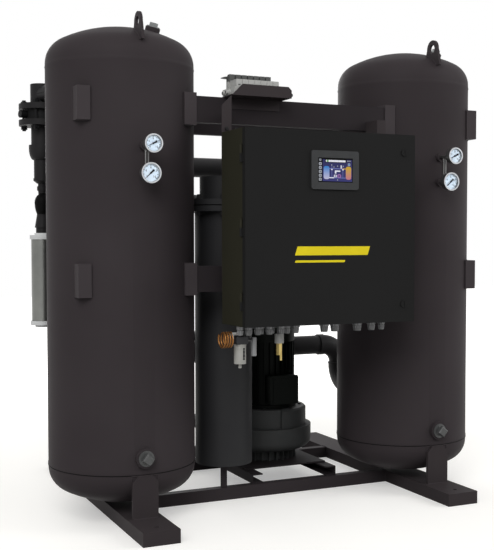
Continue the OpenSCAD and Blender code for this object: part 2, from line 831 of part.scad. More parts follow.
rail_face = panel_y - panel_t;
din_h = 35;
din_t = 7.5;
din_half = cabinet_w / 2 - panel_margin - 30;
din_first = 130;
din_pitch = 200;
din_zs = [for (i = [0:2]) cabinet_z + din_first + i * din_pitch];

// Hat-section rails across the plate
module panel_rails() {
    color(steel) at_towers() translate([cabinet_shift, 0, 0]) for (z = din_zs) {
        span([-din_half, rail_face - din_t, z - din_h / 2], [din_half, rail_face - din_t + 1.5, z + din_h / 2]);
        span([-din_half, rail_face - din_t + 1.5, z - 12], [din_half, rail_face, z + 12]);
    }
}

device_face = rail_face - din_t;

// Controller, contactors and terminal blocks clipped to the rails, as [x, width, height, depth, rail]
device_rows = [[-210, 150, 110, 70, 2], [-60, 60, 90, 60, 2], [10, 60, 90, 60, 2], [-220, 54, 84, 75, 1],
    [-150, 54, 84, 75, 1], [-80, 54, 84, 75, 1], [20, 36, 84, 60, 1], [70, 36, 84, 60, 1], [120, 90, 100, 62, 1]];
terminal_count = 28;
terminal_pitch = 15;
terminal_d = 42;
terminal_h = 56;

module panel_devices() {
    color([0.75, 0.75, 0.73]) at_towers() translate([cabinet_shift, 0, 0]) {
        for (d = device_rows)
            translate([d[0], device_face - d[3], din_zs[d[4]] - d[2] / 2]) cube([d[1], d[3], d[2]]);
        translate([-terminal_count * terminal_pitch / 2, device_face, din_zs[0] - terminal_h / 2]) {
            translate([0, -terminal_d / 2, 0]) cube([terminal_count * terminal_pitch, terminal_d / 2, terminal_h]);
            for (i = [0:terminal_count - 1]) translate([i * terminal_pitch, -terminal_d, 0])
                cube([terminal_pitch - 3, terminal_d / 2, terminal_h]);
        }
    }
}

// Glands through the cabinet's floor, as [distance from its left side, thread radius, how far back from the line]
gland_line = box_front - 70;
gland_hex = 14;
gland_dome = 21;
glands = [[18, 9, -8], [46, 10, -20], [64, 10, 14], [86, 11, -10], [109, 10, 12], [133, 12, -8],
    [154, 10, 16], [178, 12, -14], [208, 10, -2], [244, 12, 0], [364, 14, 0], [410, 15, 2], [506, 15, 0],
    [566, 13, -3], [612, 10, 0]];

module at_gland(g) translate([cabinet_x0 + g[0], g[2] - gland_line, cabinet_z]) children();

module cable_glands() {
    lock_nut = 6;
    color([0.35, 0.35, 0.36]) at_towers() for (g = glands) at_gland(g) {
        r = g[1];
        translate([0, 0, -gland_hex]) cylinder(r = r + 3.5, h = gland_hex, $fn = 6);
        translate([0, 0, -gland_hex - gland_dome]) difference() {
            cylinder(r1 = r - 1, r2 = r + 1.5, h = gland_dome);
            translate([0, 0, -1]) cylinder(r = r / 2, h = gland_dome - 5);
        }
        cylinder(r = r, h = cabinet_wall);
        translate([0, 0, cabinet_wall]) cylinder(r = r + 3, h = lock_nut, $fn = 6);
    }
}

pilot_x = cabinet_x0 + 30;
pilot_y = -(box_front - 92);
pilot_neck = 41;
neck_d = 22;
pilot_head = 27;
bowl_r = 22;
bowl_h = 72;
drain_l = 16;
silencer_gap = 32;
silencer_l = 68;
silencer_top = 8;
feed_z = cabinet_z - 32;

// Pilot air filter hung from the cabinet's floor: neck, head, bowl and drain, with a silencer beside it
module pilot_filter() {
    head_w = 2 * bowl_r + 2;
    color(steel) at_towers() translate([pilot_x, pilot_y, cabinet_z]) {
        translate([0, 0, -pilot_neck]) cylinder(d = neck_d, h = pilot_neck);
        translate([-head_w / 2, -head_w / 2, -pilot_neck - pilot_head]) cube([head_w, head_w, pilot_head]);
        translate([0, 0, -pilot_neck - pilot_head - bowl_h]) cylinder(r = bowl_r, h = bowl_h);
        translate([0, 0, -pilot_neck - pilot_head - bowl_h - drain_l]) cylinder(r = 6, h = drain_l);
        translate([head_w / 2, 0, -pilot_neck - pilot_head / 2]) {
            rod_x(5, 0, silencer_gap);
            translate([silencer_gap, 0, silencer_top - silencer_l]) cylinder(r = 10, h = silencer_l);
        }
    }
}

// Copper pigtail: a helix with its axis along X, swept as one tube from a start near its top
coil_r = 27;
coil_tube_r = 3.2;
coil_turns = 4;
coil_pitch = 9.5;
coil_sides = 8;
coil_steps = 14;
coil_start = 40;
coil_gap = 33;

function coil_angle(i) = coil_start + 360 * i / coil_steps;
function coil_point(i) = let (a = coil_angle(i))
    [-coil_pitch * i / coil_steps, coil_r * (cos(a) - cos(coil_start)), coil_r * (sin(a) - sin(coil_start))];
function coil_ring(i) = let (a = coil_angle(i)) [for (k = [0:coil_sides - 1])
    let (b = 360 * k / coil_sides) coil_point(i)
        + coil_tube_r * (cos(b) * [1, 0, 0] + sin(b) * [0, cos(a), sin(a)])];

module helix() {
    n = coil_turns * coil_steps;
    rings = [for (i = [0:n]) each coil_ring(i)];
    walls = [for (i = [0:n - 1], k = [0:coil_sides - 1]) let (k2 = (k + 1) % coil_sides)
        [i * coil_sides + k, i * coil_sides + k2, (i + 1) * coil_sides + k2, (i + 1) * coil_sides + k]];
    caps = [[for (k = [coil_sides - 1:-1:0]) k], [for (k = [0:coil_sides - 1]) n * coil_sides + k]];
    polyhedron(points = rings, faces = concat([for (w = walls) flip(w)], [for (c = caps) flip(c)]));
}

module pilot_coil() {
    color([0.72, 0.45, 0.2]) at_towers() translate([pilot_x - neck_d / 2 - coil_gap, pilot_y, feed_z]) {
        helix();
        rod_x(6, -2, coil_gap);
    }
}

switch_in = 188;
switch_x = cabinet_x0 + switch_in;
switch_neck = 38;
switch_h = 34;
brass_h = 44;

// Pressure switch under the cabinet's floor: neck, body, brass hexagon and tube stub
module pressure_switch() {
    color(ivory) at_towers() translate([switch_x, pilot_y, cabinet_z]) {
        translate([0, 0, -switch_neck]) cylinder(r = 8, h = switch_neck);
        translate([0, 0, -switch_neck - switch_h]) cylinder(r = 17, h = switch_h);
        translate([0, 0, -switch_neck - switch_h - brass_h]) cylinder(r = 11.5, h = brass_h, $fn = 6);
        translate([5, -3, -switch_neck - switch_h - brass_h - 20]) cylinder(r = 4.5, h = 40);
    }
}

// Heater

heater_r = heater_d / 2;
head_r = heater_r - 20;
head_h = 92;
gasket_t = 4;
heater_bolts = 8;
heater_bolt_circle = heater_flange_d - 40;
purge_nozzle_z = heater_joint_z - 120;
blower_nozzle_z = motor_z - adapter_h / 2;
nozzle_end = heater_r + 50;

module at_heater() translate([heater_x, tower_y + heater_back, 0]) children();

// Heater flange with its bolt holes, its lower face at z = 0
module heater_flange() {
    difference() {
        cylinder(d = heater_flange_d, h = heater_flange_t);
        for (i = [0:heater_bolts - 1]) rotate([0, 0, (i + 0.5) * 360 / heater_bolts])
            translate([heater_bolt_circle / 2, 0, -1]) cylinder(r = 10, h = heater_flange_t + 2);
    }
}

flange_face = heater_joint_z - gasket_t / 2;

// Shell with a closed bottom, a flange on top, a nozzle at the back and one at the right
module heater_shell() {
    wall = 8;
    color(paint) at_heater() difference() {
        union() {
            translate([0, 0, heater_z]) cylinder(r = heater_r, h = flange_face - heater_z);
            translate([0, 0, flange_face - heater_flange_t]) heater_flange();
            translate([0, 0, blower_nozzle_z]) rod_y(purge_r, 0, nozzle_end);
            translate([0, 0, purge_nozzle_z]) rod_x(purge_r, 0, nozzle_end);
        }
        translate([0, 0, heater_z + 12]) cylinder(r = heater_r - wall, h = flange_face - heater_z);
        translate([0, 0, blower_nozzle_z]) rod_y(purge_r - pipe_wall, 0, nozzle_end + 1);
        translate([0, 0, purge_nozzle_z]) rod_x(purge_r - pipe_wall, 0, nozzle_end + 1);
    }
}

// Bolt with a nut above the upper flange and one below the lower, about the joint's middle
module heater_bolt() {
    reach = heater_flange_t + gasket_t / 2;
    nut_h = 14;
    cylinder(r = 8, h = 2 * (reach + nut_h + 5), center = true);
    translate([0, 0, reach]) cylinder(r = 15, h = nut_h, $fn = 6);
    translate([0, 0, -reach - nut_h]) cylinder(r = 15, h = nut_h, $fn = 6);
}

// Mating flange, terminal housing and the bolts through both flanges
module heater_head() {
    z0 = heater_joint_z + gasket_t / 2;
    color(paint) at_heater() {
        translate([0, 0, z0]) heater_flange();
        translate([0, 0, heater_joint_z - gasket_t / 2]) cylinder(d = heater_flange_d - 70, h = gasket_t);
        translate([0, 0, z0 + heater_flange_t]) cylinder(r = head_r, h = head_h);
        for (i = [0:heater_bolts - 1]) rotate([0, 0, (i + 0.5) * 360 / heater_bolts])
            translate([heater_bolt_circle / 2, 0, heater_joint_z]) heater_bolt();
    }
}

// Hairpin rods under the heater head
module heater_elements() {
    ring = heater_r - 44;
    rods = 6;
    rod_r = 6;
    low = heater_z + 60;
    color(steel) at_heater() {
        for (i = [0:rods - 1]) rotate([0, 0, i * 360 / rods]) translate([ring, 0, low])
            cylinder(r = rod_r, h = flange_face - low);
        translate([0, 0, low]) rotate_extrude() translate([ring, 0]) circle(r = rod_r);
    }
}

// Blower

shaft_r = 14;
impeller_r = drum_d / 2 - 38;
impeller_gap = 5;
impeller_h = drum_h - 36;
impeller_z = drum_z + 18;

module at_blower() translate([blower_x, tower_y + blower_back, 0]) children();

upper_r = drum_d / 2 - 23;
housing_r = upper_r - 9;
drum_round = 40;
block_turn = -25;
block_start = 82;

// The part of space to the right of the silencer block's joint, grown by g
module block_side(g)
    rotate([0, 0, block_turn]) span([block_start - g, -drum_d, 0], [drum_d, drum_d, motor_z + 1]);

// Drum with a rounded lower edge on a ribbed foot, and an upper drum cut away where the silencer block stands
module blower_housing() {
    foot_r = drum_d / 2 - 90;
    foot_h = drum_z - plate_z - plate_t;
    ribs = 28;
    rib_reach = 26;
    color([0.25, 0.25, 0.26]) at_blower() difference() {
        union() {
            translate([0, 0, drum_z]) rotate_extrude()
                polygon(concat([[0, 0]], arc([drum_d / 2 - drum_round, drum_round], drum_round, -90, 0, 6),
                    [[drum_d / 2, drum_h], [0, drum_h]]));
            translate([0, 0, plate_z + plate_t]) cylinder(r = foot_r, h = foot_h);
            for (i = [0:ribs - 1]) rotate([0, 0, i * 360 / ribs])
                translate([foot_r - 4, -2, plate_z + plate_t]) cube([rib_reach, 4, foot_h]);
            difference() {
                translate([0, 0, housing_z]) cylinder(r = housing_r, h = adapter_h);
                block_side(fit);
            }
        }
        translate([0, 0, impeller_z - impeller_gap])
            cylinder(r = impeller_r + impeller_gap, h = impeller_h + 2 * impeller_gap);
        translate([0, 0, impeller_z]) cylinder(r = shaft_r + fit, h = motor_z - impeller_z + 1);
    }
}

// Wheel with radial blades on the motor shaft
module blower_impeller() {
    blades = 24;
    depth = 46;
    color([0.6, 0.6, 0.6]) at_blower() {
        difference() {
            translate([0, 0, impeller_z]) cylinder(r = impeller_r, h = impeller_h);
            for (i = [0:blades - 1]) rotate([0, 0, i * 360 / blades])
                translate([impeller_r - depth, -9, impeller_z - 1]) cube([depth + 1, 18, impeller_h * 0.45]);
        }
        translate([0, 0, impeller_z + impeller_h])
            cylinder(r = shaft_r, h = motor_z + 60 - impeller_z - impeller_h);
    }
}

fin_count = 32;
cowl_h = 70;
box_x = -45;
box_w = 127;
box_h = 119;
box_proud = 40;
box_z = motor_z + 28;

// Finned motor body with its foot flange, fan cowl and terminal box
module blower_motor() {
    core_r = motor_d / 2 - 14;
    color(black) at_blower() difference() {
        union() {
            translate([0, 0, motor_z]) cylinder(r = core_r, h = motor_l - cowl_h);
            translate([0, 0, motor_z + 24]) linear_extrude(motor_l - cowl_h - 24)
                for (i = [0:fin_count - 1]) rotate(i * 360 / fin_count)
                    translate([core_r - 3, -1.5]) square([17, 3]);
            translate([0, 0, motor_z + motor_l - cowl_h]) cylinder(d = motor_d, h = cowl_h);
            translate([0, 0, motor_z]) cylinder(d = motor_d + 12, h = 16);
            span([box_x, -motor_d / 2 - box_proud, box_z], [box_x + box_w, -motor_d / 2 + 30, box_z + box_h]);
        }
        translate([0, 0, motor_z - 1]) cylinder(r = shaft_r + fit, h = 70);
    }
}

// Inlet silencer block at the right of the upper drum, with an eased rim
module blower_silencer() {
    ease = 7;
    color([0.25, 0.25, 0.26]) at_blower() intersection() {
        translate([0, 0, housing_z]) rotate_extrude()
            polygon([[0, 0], [upper_r, 0], [upper_r, adapter_h - ease], [upper_r - ease, adapter_h],
                [0, adapter_h]]);
        block_side(0);
    }
}

// Piping

bend_r = 1.5 * pipe_d;
elbow_r = pipe_d;
branch_l = 130;
grow = 2;
bolt_count = 4;

module flange_holes(t) for (i = [0:bolt_count - 1]) rotate([0, 0, 45 + i * 360 / bolt_count])
    translate([flange_bolt_circle / 2, 0, -1]) cylinder(d = flange_hole_d, h = t + 2);

// Pipe flange, its first face at z = 0
module flange() {
    difference() {
        cylinder(d = flange_d, h = flange_t);
        flange_holes(flange_t);
    }
}

// Flange about the X axis with its valve side at x, its body on the side away from the valve
module flange_x(x, away) translate([away > 0 ? x : x - flange_t, 0, 0]) rotate([0, 90, 0]) flange();

// Quarter bend about Z, from the direction of +X round to +Y
module bend(r, turn) rotate_extrude(angle = 90) translate([turn, 0]) circle(r = r);

module at_inlet() translate([0, tower_y + inlet_back, inlet_z]) children();
module at_header(z) translate([0, tower_y + header_back, z]) children();

gap = wafer_t / 2;

// Inlet header: a middle spool with the customer's flange, and two legs down to the towers' lower nozzles
module inlet_middle(r) {
    rod_x(r, -inlet_valve_x + gap, inlet_valve_x - gap);
    rod_y(r - 1, 0, branch_l);
}

leg_gap = 6;
socket = 6;
socket_rim = 2;
band_l = 28;
band_lip = 5;
nozzle_drop = 2 * elbow_r + leg_gap;

// One side of the header: a band, an elbow down and a wider elbow forward into the tower
module inlet_leg(r) {
    rod_x(r, inlet_valve_x + gap, tower_x - elbow_r);
    rod_x(r + band_lip, tower_x - elbow_r - band_l, tower_x - elbow_r);
    translate([tower_x - elbow_r, 0, -elbow_r]) rotate([90, 0, 0]) bend(r + grow, elbow_r);
    translate([tower_x, 0, -elbow_r - leg_gap]) cylinder(r = r + socket + socket_rim, h = leg_gap);
    translate([tower_x, -elbow_r, elbow_r - nozzle_drop]) rotate([0, 90, 0]) bend(r + socket, elbow_r);
    translate([tower_x, 0, -nozzle_drop]) rod_y(r, 100 - inlet_back, -elbow_r);
}

module inlet_manifold() {
    color(paint) at_inlet() {
        difference() {
            union() {
                inlet_middle(pipe_r);
                for (s = sides) flange_x(s * (inlet_valve_x - gap), -s);
                translate([0, branch_l, 0]) rotate([-90, 0, 0]) flange();
            }
            inlet_middle(pipe_r - pipe_wall);
            rod_y(pipe_r - pipe_wall, 60, branch_l + flange_t + 1);
            rod_x(pipe_r - pipe_wall, -inlet_valve_x, inlet_valve_x);
        }
        for (s = sides) mirror([s < 0 ? 1 : 0, 0, 0]) difference() {
            union() {
                inlet_leg(pipe_r);
                flange_x(inlet_valve_x + gap, 1);
            }
            translate([tower_x, -inlet_back, -inlet_z]) cylinder(r = header_front, h = tangent_high);
        }
    }
}

// Outlet header: a middle spool with the customer's flange, and two ends turned forward to the towers
module outlet_middle(r) {
    rod_x(r, -check_valve_x + gap, check_valve_x - gap);
    translate([outlet_branch_x, 0, 0]) rod_y(r - 1, 0, branch_l);
}

module outlet_end(r, g) {
    rod_x(r, check_valve_x + gap, tower_x - bend_r);
    translate([tower_x - bend_r, -bend_r, 0]) bend(r + g, bend_r);
    translate([tower_x, 0, 0]) rod_y(r, -header_back + 100, -bend_r);
}

module outlet_manifold() {
    color(paint) at_header(outlet_z) {
        difference() {
            union() {
                outlet_middle(pipe_r);
                for (s = sides) flange_x(s * (check_valve_x - gap), -s);
                translate([outlet_branch_x, branch_l, 0]) rotate([-90, 0, 0]) flange();
            }
            outlet_middle(pipe_r - pipe_wall);
            translate([outlet_branch_x, 0, 0]) rod_y(pipe_r - pipe_wall, 60, branch_l + flange_t + 1);
            rod_x(pipe_r - pipe_wall, -check_valve_x, check_valve_x);
        }
        for (s = sides) mirror([s < 0 ? 1 : 0, 0, 0]) difference() {
            union() {
                outlet_end(pipe_r, grow);
                flange_x(check_valve_x + gap, 1);
            }
            translate([tower_x, -header_back, -outlet_z]) cylinder(r = header_front, h = tangent_high + 100);
        }
    }
}

// Hot purge pipe: heater's upper nozzle to a header across both towers, and blower to heater
module purge_piping() {
    r = purge_r;
    short_r = 1.2 * purge_d;
    turn_x = heater_x + nozzle_end + 50;
    riser_x = turn_x + bend_r;
    color(paint) at_towers() {
        translate([0, heater_back, purge_nozzle_z]) {
            translate([heater_x, 0, 0]) rod_x(r, nozzle_end, turn_x - heater_x);
            translate([turn_x, bend_r, 0]) rotate([0, 0, -90]) bend(r + grow, bend_r);
        }
        translate([riser_x, 0, purge_nozzle_z]) {
            rod_y(r, heater_back + bend_r, purge_back - bend_r);
            translate([0, purge_back - bend_r, bend_r]) rotate([0, 90, 0]) bend(r + grow, bend_r);
            translate([0, purge_back, bend_r]) cylinder(r = r, h = purge_z - purge_nozzle_z - bend_r);
        }
        difference() {
            translate([heater_x, 0, blower_nozzle_z]) {
                rod_y(r, heater_back + nozzle_end, blower_back - short_r);
                translate([short_r, blower_back - short_r, 0]) rotate([0, 0, 90]) bend(r + grow, short_r);
                translate([0, blower_back, 0]) rod_x(r, short_r, blower_x - heater_x);
            }
            translate([blower_x, blower_back, housing_z]) cylinder(r = housing_r + fit, h = adapter_h);
        }
        translate([0, purge_back, purge_z]) {
            rod_x(r + grow, -tower_x + bend_r, tower_x - bend_r);
            for (s = sides) mirror([s < 0 ? 1 : 0, 0, 0]) difference() {
                union() {
                    translate([tower_x - bend_r, -bend_r, 0]) bend(r, bend_r);
                    translate([tower_x, 0, 0]) rod_y(r, -purge_back + 100, -bend_r);
                }
                translate([tower_x, -purge_back, -purge_z]) cylinder(r = header_front, h = tangent_high);
            }
        }
    }
}

// Wafer valve between two flanges about its own Z: body, stem ear, studs and, if asked, an actuator along +Y
module wafer(actuated) {
    stud_r = 8;
    ear_r = 16;
    nut_h = 13;
    reach = gap + flange_t;
    cylinder(d = flange_bolt_circle - stud_r, h = wafer_t, center = true);
    rotate([90, 0, 0]) cylinder(r = ear_r, h = flange_d / 2 + 6);
    for (i = [0:bolt_count - 1]) rotate([0, 0, 45 + i * 360 / bolt_count])
        translate([flange_bolt_circle / 2, 0, 0]) {
            cylinder(r = stud_r, h = 2 * (reach + nut_h + 6), center = true);
            translate([0, 0, reach]) cylinder(r = 14, h = nut_h, $fn = 6);
            translate([0, 0, -reach - nut_h]) cylinder(r = 14, h = nut_h, $fn = 6);
        }
    if (actuated) {
        rotate([-90, 0, 0]) cylinder(r = 13, h = flange_d / 2 + 24);
        translate([-75, flange_d / 2 + 24, -38]) cube([150, 70, 76]);
    }
}

module wafer_valves() {
    color(black) for (s = sides) {
        at_inlet() translate([s * inlet_valve_x, 0, 0]) rotate([90, 0, 90]) wafer(true);
        at_header(outlet_z) translate([s * check_valve_x, 0, 0]) rotate([0, 90, 0]) wafer(false);
        at_header(stack_valve_z) translate([s * stack_x, 0, 0])
            rotate([0, 0, s * (90 - stack_skew)]) wafer(true);
    }
}

stack_turn = atan2(header_back, stack_out);
stack_skew = 90 - stack_turn;
stack_run = sqrt(pow(header_back, 2) + pow(stack_out, 2));
branch_z = stack_valve_z + gap + flange_t + purge_r + 3;
leg_top = stack_valve_z - gap - flange_t;
collar_z = leg_top - 80;
union_z = leg_top - 221;
egg_z = leg_top - 324;
skirt_z = leg_top - 431;
muffler_top = leg_top - 454;
collar_r = pipe_r + 10;
union_r = 34;
nipple_r = 18;
skirt_r = 33;

// Outline of the narrow leg from valve flange to muffler: collar, reducer, union, check valve and skirt
leg_outline = concat([[0, leg_top], [pipe_r, leg_top], [pipe_r, collar_z], [collar_r, collar_z]],
    [for (a = [0:15:90]) [union_r + (collar_r - union_r) * cos(a), collar_z - 16 - 48 * sin(a)]],
    [[union_r, union_z], [union_r + 3, union_z], [union_r + 3, union_z - 10], [nipple_r + 4, union_z - 22],
        [nipple_r, union_z - 22], [nipple_r, union_z - 34], [nipple_r + 4, union_z - 34],
        [nipple_r + 4, union_z - 52], [nipple_r, union_z - 52]],
    [for (a = [60:-15:0]) [skirt_r * cos(a), egg_z + 40 * sin(a)]],
    [for (a = [15:15:45]) [skirt_r * cos(a), egg_z - 70 * sin(a)]],
    [[skirt_r, skirt_z], [skirt_r - 5, skirt_z], [skirt_r - 5, muffler_top], [0, muffler_top]]);

// Capped leg beside each tower: branch, valve flanges and the narrow leg
module exhaust_stack() {
    difference() {
        union() {
            translate([stack_out, header_back, stack_valve_z + gap])
                cylinder(r = pipe_r + grow, h = stack_top - stack_valve_z - gap);
            translate([stack_out, header_back, stack_valve_z + gap]) rotate([0, 0, -stack_skew]) flange();
            rotate([0, 0, stack_turn]) translate([0, 0, branch_z]) rod_x(purge_r, 100, stack_run);
        }
        cylinder(r = header_front + seam_h, h = 2 * tangent_high);
    }
    translate([stack_out, header_back, 0]) {
        translate([0, 0, leg_top]) rotate([0, 0, -stack_skew]) flange();
        rotate_extrude() polygon(leg_outline);
    }
}

module exhaust_stacks()
    color(paint) at_towers() for (s = sides)
        mirror([s < 0 ? 1 : 0, 0, 0]) translate([tower_x, 0, 0]) exhaust_stack();

// Mufflers: a drum between two stepped end caps
module mufflers() {
    cap_h = 18;
    step_h = 9;
    cap_r = muffler_d / 2 + 6;
    step_r = cap_r - 20;
    profile = [[0, 0], [step_r, 0], [step_r, step_h], [cap_r, step_h], [cap_r, step_h + cap_h],
        [muffler_d / 2, step_h + cap_h]];
    color(steel) at_towers() for (s = sides) translate([s * stack_x, header_back, muffler_top - muffler_l])
        rotate_extrude() polygon(concat(profile, flip([for (p = profile) [p[0], muffler_l - p[1]]])));
}

left_skid_rail();
right_skid_rail();
front_cross_member();
middle_cross_member();
rear_cross_member();
blower_channels();
blower_plate();
heater_leg();
left_tower();
right_tower();
tower_legs();
mounting_pads();
lifting_lugs();
fill_plugs();
drain_plugs();
left_desiccant();
right_desiccant();
bed_screens();
gauge_stems();
gauge_cases();
gauge_dials();
gauge_glasses();
left_upper_pointer();
left_lower_pointer();
right_upper_pointer();
right_lower_pointer();
front_tie_beams();
rear_tie_beams();
cabinet_straps();
valve_tray();
valve_manifold();
solenoid_coils();
cabinet_box();
cabinet_door();
door_gasket();
hinge_pins();
upper_latch();
lower_latch();
display_bezel();
display_screen();
panel_plate();
panel_rails();
panel_devices();
cable_glands();
pilot_filter();
pilot_coil();
pressure_switch();
heater_shell();
heater_head();
heater_elements();
blower_housing();
blower_impeller();
blower_motor();
blower_silencer();
inlet_manifold();
outlet_manifold();
purge_piping();
wafer_valves();
exhaust_stacks();
mufflers();
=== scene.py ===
"""Looks of the desiccant air dryer: camera, light, materials and small fittings round the CAD frame."""
import json
import math

import bmesh
import bpy
from mathutils import Matrix, Vector


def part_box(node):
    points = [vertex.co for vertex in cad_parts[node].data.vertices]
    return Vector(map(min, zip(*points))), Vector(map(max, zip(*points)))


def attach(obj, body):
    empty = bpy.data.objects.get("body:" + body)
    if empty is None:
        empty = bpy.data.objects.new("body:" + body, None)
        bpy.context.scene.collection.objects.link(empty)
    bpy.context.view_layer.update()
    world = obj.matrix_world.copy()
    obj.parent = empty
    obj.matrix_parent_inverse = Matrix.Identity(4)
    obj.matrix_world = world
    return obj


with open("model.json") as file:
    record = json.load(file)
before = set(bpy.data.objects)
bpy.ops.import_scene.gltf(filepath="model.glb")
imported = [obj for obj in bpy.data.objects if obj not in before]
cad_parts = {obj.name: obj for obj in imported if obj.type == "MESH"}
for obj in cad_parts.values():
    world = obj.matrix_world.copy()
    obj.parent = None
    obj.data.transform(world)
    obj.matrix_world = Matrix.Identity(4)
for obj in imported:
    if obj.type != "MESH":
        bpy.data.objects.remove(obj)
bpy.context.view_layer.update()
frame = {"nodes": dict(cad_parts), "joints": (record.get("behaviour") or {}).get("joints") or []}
nodes = frame["nodes"]
MM = 0.001

# Towers, as in the CAD model

TOWER_X = 632 * MM
TOWER_Y = -231.5 * MM
TOWER_R = 279.4 * MM
TOWERS = (-TOWER_X, TOWER_X)

# Camera, as fitted to the photograph's perspective

IMAGE_W = 494
IMAGE_H = 550
FOCAL_PX = 1020.75
PRINCIPAL_PX = (272.69, 284.11)
SENSOR = 36.0
CAMERA_AT = (-1.77938, -4.01621, 1.05746)
CAMERA_YAW = math.radians(25.31)
CAMERA_PITCH = math.radians(2.48)


def make_camera():
    cam = bpy.data.cameras.new("camera")
    cam.sensor_width = SENSOR
    cam.lens = FOCAL_PX / IMAGE_H * SENSOR
    cam.shift_x = -(PRINCIPAL_PX[0] - IMAGE_W / 2) / IMAGE_H
    cam.shift_y = (PRINCIPAL_PX[1] - IMAGE_H / 2) / IMAGE_H
    cam.clip_end = 100
    obj = bpy.data.objects.new("camera", cam)
    bpy.context.scene.collection.objects.link(obj)
    obj.location = CAMERA_AT
    obj.rotation_euler = (math.pi / 2 - CAMERA_PITCH, 0, -CAMERA_YAW)
    bpy.context.scene.camera = obj


# Light: a white surround that the camera sees as white, and three soft panels

SHOWS_BACKGROUND = ("Is Camera Ray", "Is Glossy Ray", "Is Transmission Ray")
PURE_WHITE = (1, 1, 1, 1)


def combine(tree, operation, a, b):
    """One value worked out from two others."""
    node = tree.nodes.new("ShaderNodeMath")
    node.operation = operation
    tree.links.new(a, node.inputs[0])
    tree.links.new(b, node.inputs[1])
    return node.outputs[0]


def background_rays(tree):
    """1 for rays that show the background: seen directly, in gloss or through glass."""
    path = tree.nodes.new("ShaderNodeLightPath")
    value = path.outputs[SHOWS_BACKGROUND[0]]
    for kind in SHOWS_BACKGROUND[1:]:
        value = combine(tree, "MAXIMUM", value, path.outputs[kind])
    return value


AMBIENT_LOW = 0.30
AMBIENT_HIGH = 0.80
AMBIENT_FULL_AT = 0.45
ZENITH_SHARE = 0.6


def make_world():
    """White where it shows, and else a light that is strongest some way above the horizon."""
    world = bpy.data.worlds.new("studio")
    bpy.context.scene.world = world
    world.use_nodes = True
    tree = world.node_tree
    tree.nodes.clear()
    light = tree.nodes.new("ShaderNodeBackground")
    light.inputs["Color"].default_value = PURE_WHITE
    split = tree.nodes.new("ShaderNodeSeparateXYZ")
    tree.links.new(tree.nodes.new("ShaderNodeTexCoord").outputs["Generated"], split.inputs[0])
    rise = between(tree, split.outputs["Z"], AMBIENT_LOW, AMBIENT_HIGH, 0, AMBIENT_FULL_AT)
    fall = between(tree, split.outputs["Z"], 1, ZENITH_SHARE, AMBIENT_FULL_AT, 1)
    tree.links.new(combine(tree, "MULTIPLY", rise, fall), light.inputs["Strength"])
    white = tree.nodes.new("ShaderNodeBackground")
    white.inputs["Color"].default_value = PURE_WHITE
    white.inputs["Strength"].default_value = 1.0
    mix = tree.nodes.new("ShaderNodeMixShader")
    out = tree.nodes.new("ShaderNodeOutputWorld")
    tree.links.new(background_rays(tree), mix.inputs[0])
    tree.links.new(light.outputs[0], mix.inputs[1])
    tree.links.new(white.outputs[0], mix.inputs[2])
    tree.links.new(mix.outputs[0], out.inputs[0])


AIM = (0, 0, 0.9)
PANELS = (
    ("key_panel", (-3.0, -4.6, 4.2), (3.2, 3.2), 160),
    ("right_panel", (4.6, -2.8, 3.4), (2.5, 3.0), 82),
    ("back_panel", (0.5, 5.2, 2.6), (3.2, 2.4), 70),
)


def soft_panel(name, at, size, power):
    lamp = bpy.data.lights.new(name, "AREA")
    lamp.shape = "RECTANGLE"
    lamp.size = size[0]
    lamp.size_y = size[1]
    lamp.energy = power
    obj = bpy.data.objects.new(name, lamp)
    bpy.context.scene.collection.objects.link(obj)
    obj.location = at
    obj.rotation_euler = (Vector(AIM) - Vector(at)).to_track_quat("-Z", "Y").to_euler()
    obj.visible_camera = False


def make_lights():
    for name, at, size, power in PANELS:
        soft_panel(name, at, size, power)


FLOOR_HALF = 15.0
FLOOR_GLOW = 0.35
FAR_GLOW = 0.85
FLOOR_NEAR = 1.6
FLOOR_FAR = 4.0
FLOOR_SEEN = (0.80, 0.785, 0.75, 1)
FLOOR_BOUNCE = (0.35, 0.35, 0.35, 1)


def make_floor():
    """A floor that keeps the shadow near the object and turns white further out."""
    mesh = bpy.data.meshes.new("floor")
    corners = [(x * FLOOR_HALF, y * FLOOR_HALF, 0) for x, y in ((-1, -1), (1, -1), (1, 1), (-1, 1))]
    mesh.from_pydata(corners, [], [(0, 1, 2, 3)])
    obj = bpy.data.objects.new("floor", mesh)
    bpy.context.scene.collection.objects.link(obj)
    mat = bpy.data.materials.new("floor_white")
    mat.use_nodes = True
    tree = mat.node_tree
    shader = tree.nodes["Principled BSDF"]
    seen = background_rays(tree)
    tree.links.new(blend_colour(tree, seen, FLOOR_BOUNCE, FLOOR_SEEN), shader.inputs["Base Color"])
    shader.inputs["Roughness"].default_value = 0.9
    shader.inputs["Specular IOR Level"].default_value = 0.0
    glow = tree.nodes.new("ShaderNodeEmission")
    glow.inputs["Color"].default_value = PURE_WHITE
    away = tree.nodes.new("ShaderNodeVectorMath")
    away.operation = "LENGTH"
    tree.links.new(object_point(tree), away.inputs[0])
    level = between(tree, away.outputs["Value"], FLOOR_GLOW, FAR_GLOW, FLOOR_NEAR, FLOOR_FAR)
    tree.links.new(combine(tree, "MULTIPLY", seen, level), glow.inputs["Strength"])
    add = tree.nodes.new("ShaderNodeAddShader")
    tree.links.new(shader.outputs[0], add.inputs[0])
    tree.links.new(glow.outputs[0], add.inputs[1])
    tree.links.new(add.outputs[0], tree.nodes["Material Output"].inputs["Surface"])
    mesh.materials.append(mat)


# Materials

def shade(hex_rgb):
    """Linear colour from a six-digit sRGB code."""

    def linear(c):
        c = c / 255
        return c / 12.92 if c <= 0.04045 else ((c + 0.055) / 1.055) ** 2.4

    return tuple(linear(int(hex_rgb[i:i + 2], 16)) for i in (0, 2, 4)) + (1.0,)


def object_point(tree):
    return tree.nodes.new("ShaderNodeTexCoord").outputs["Object"]


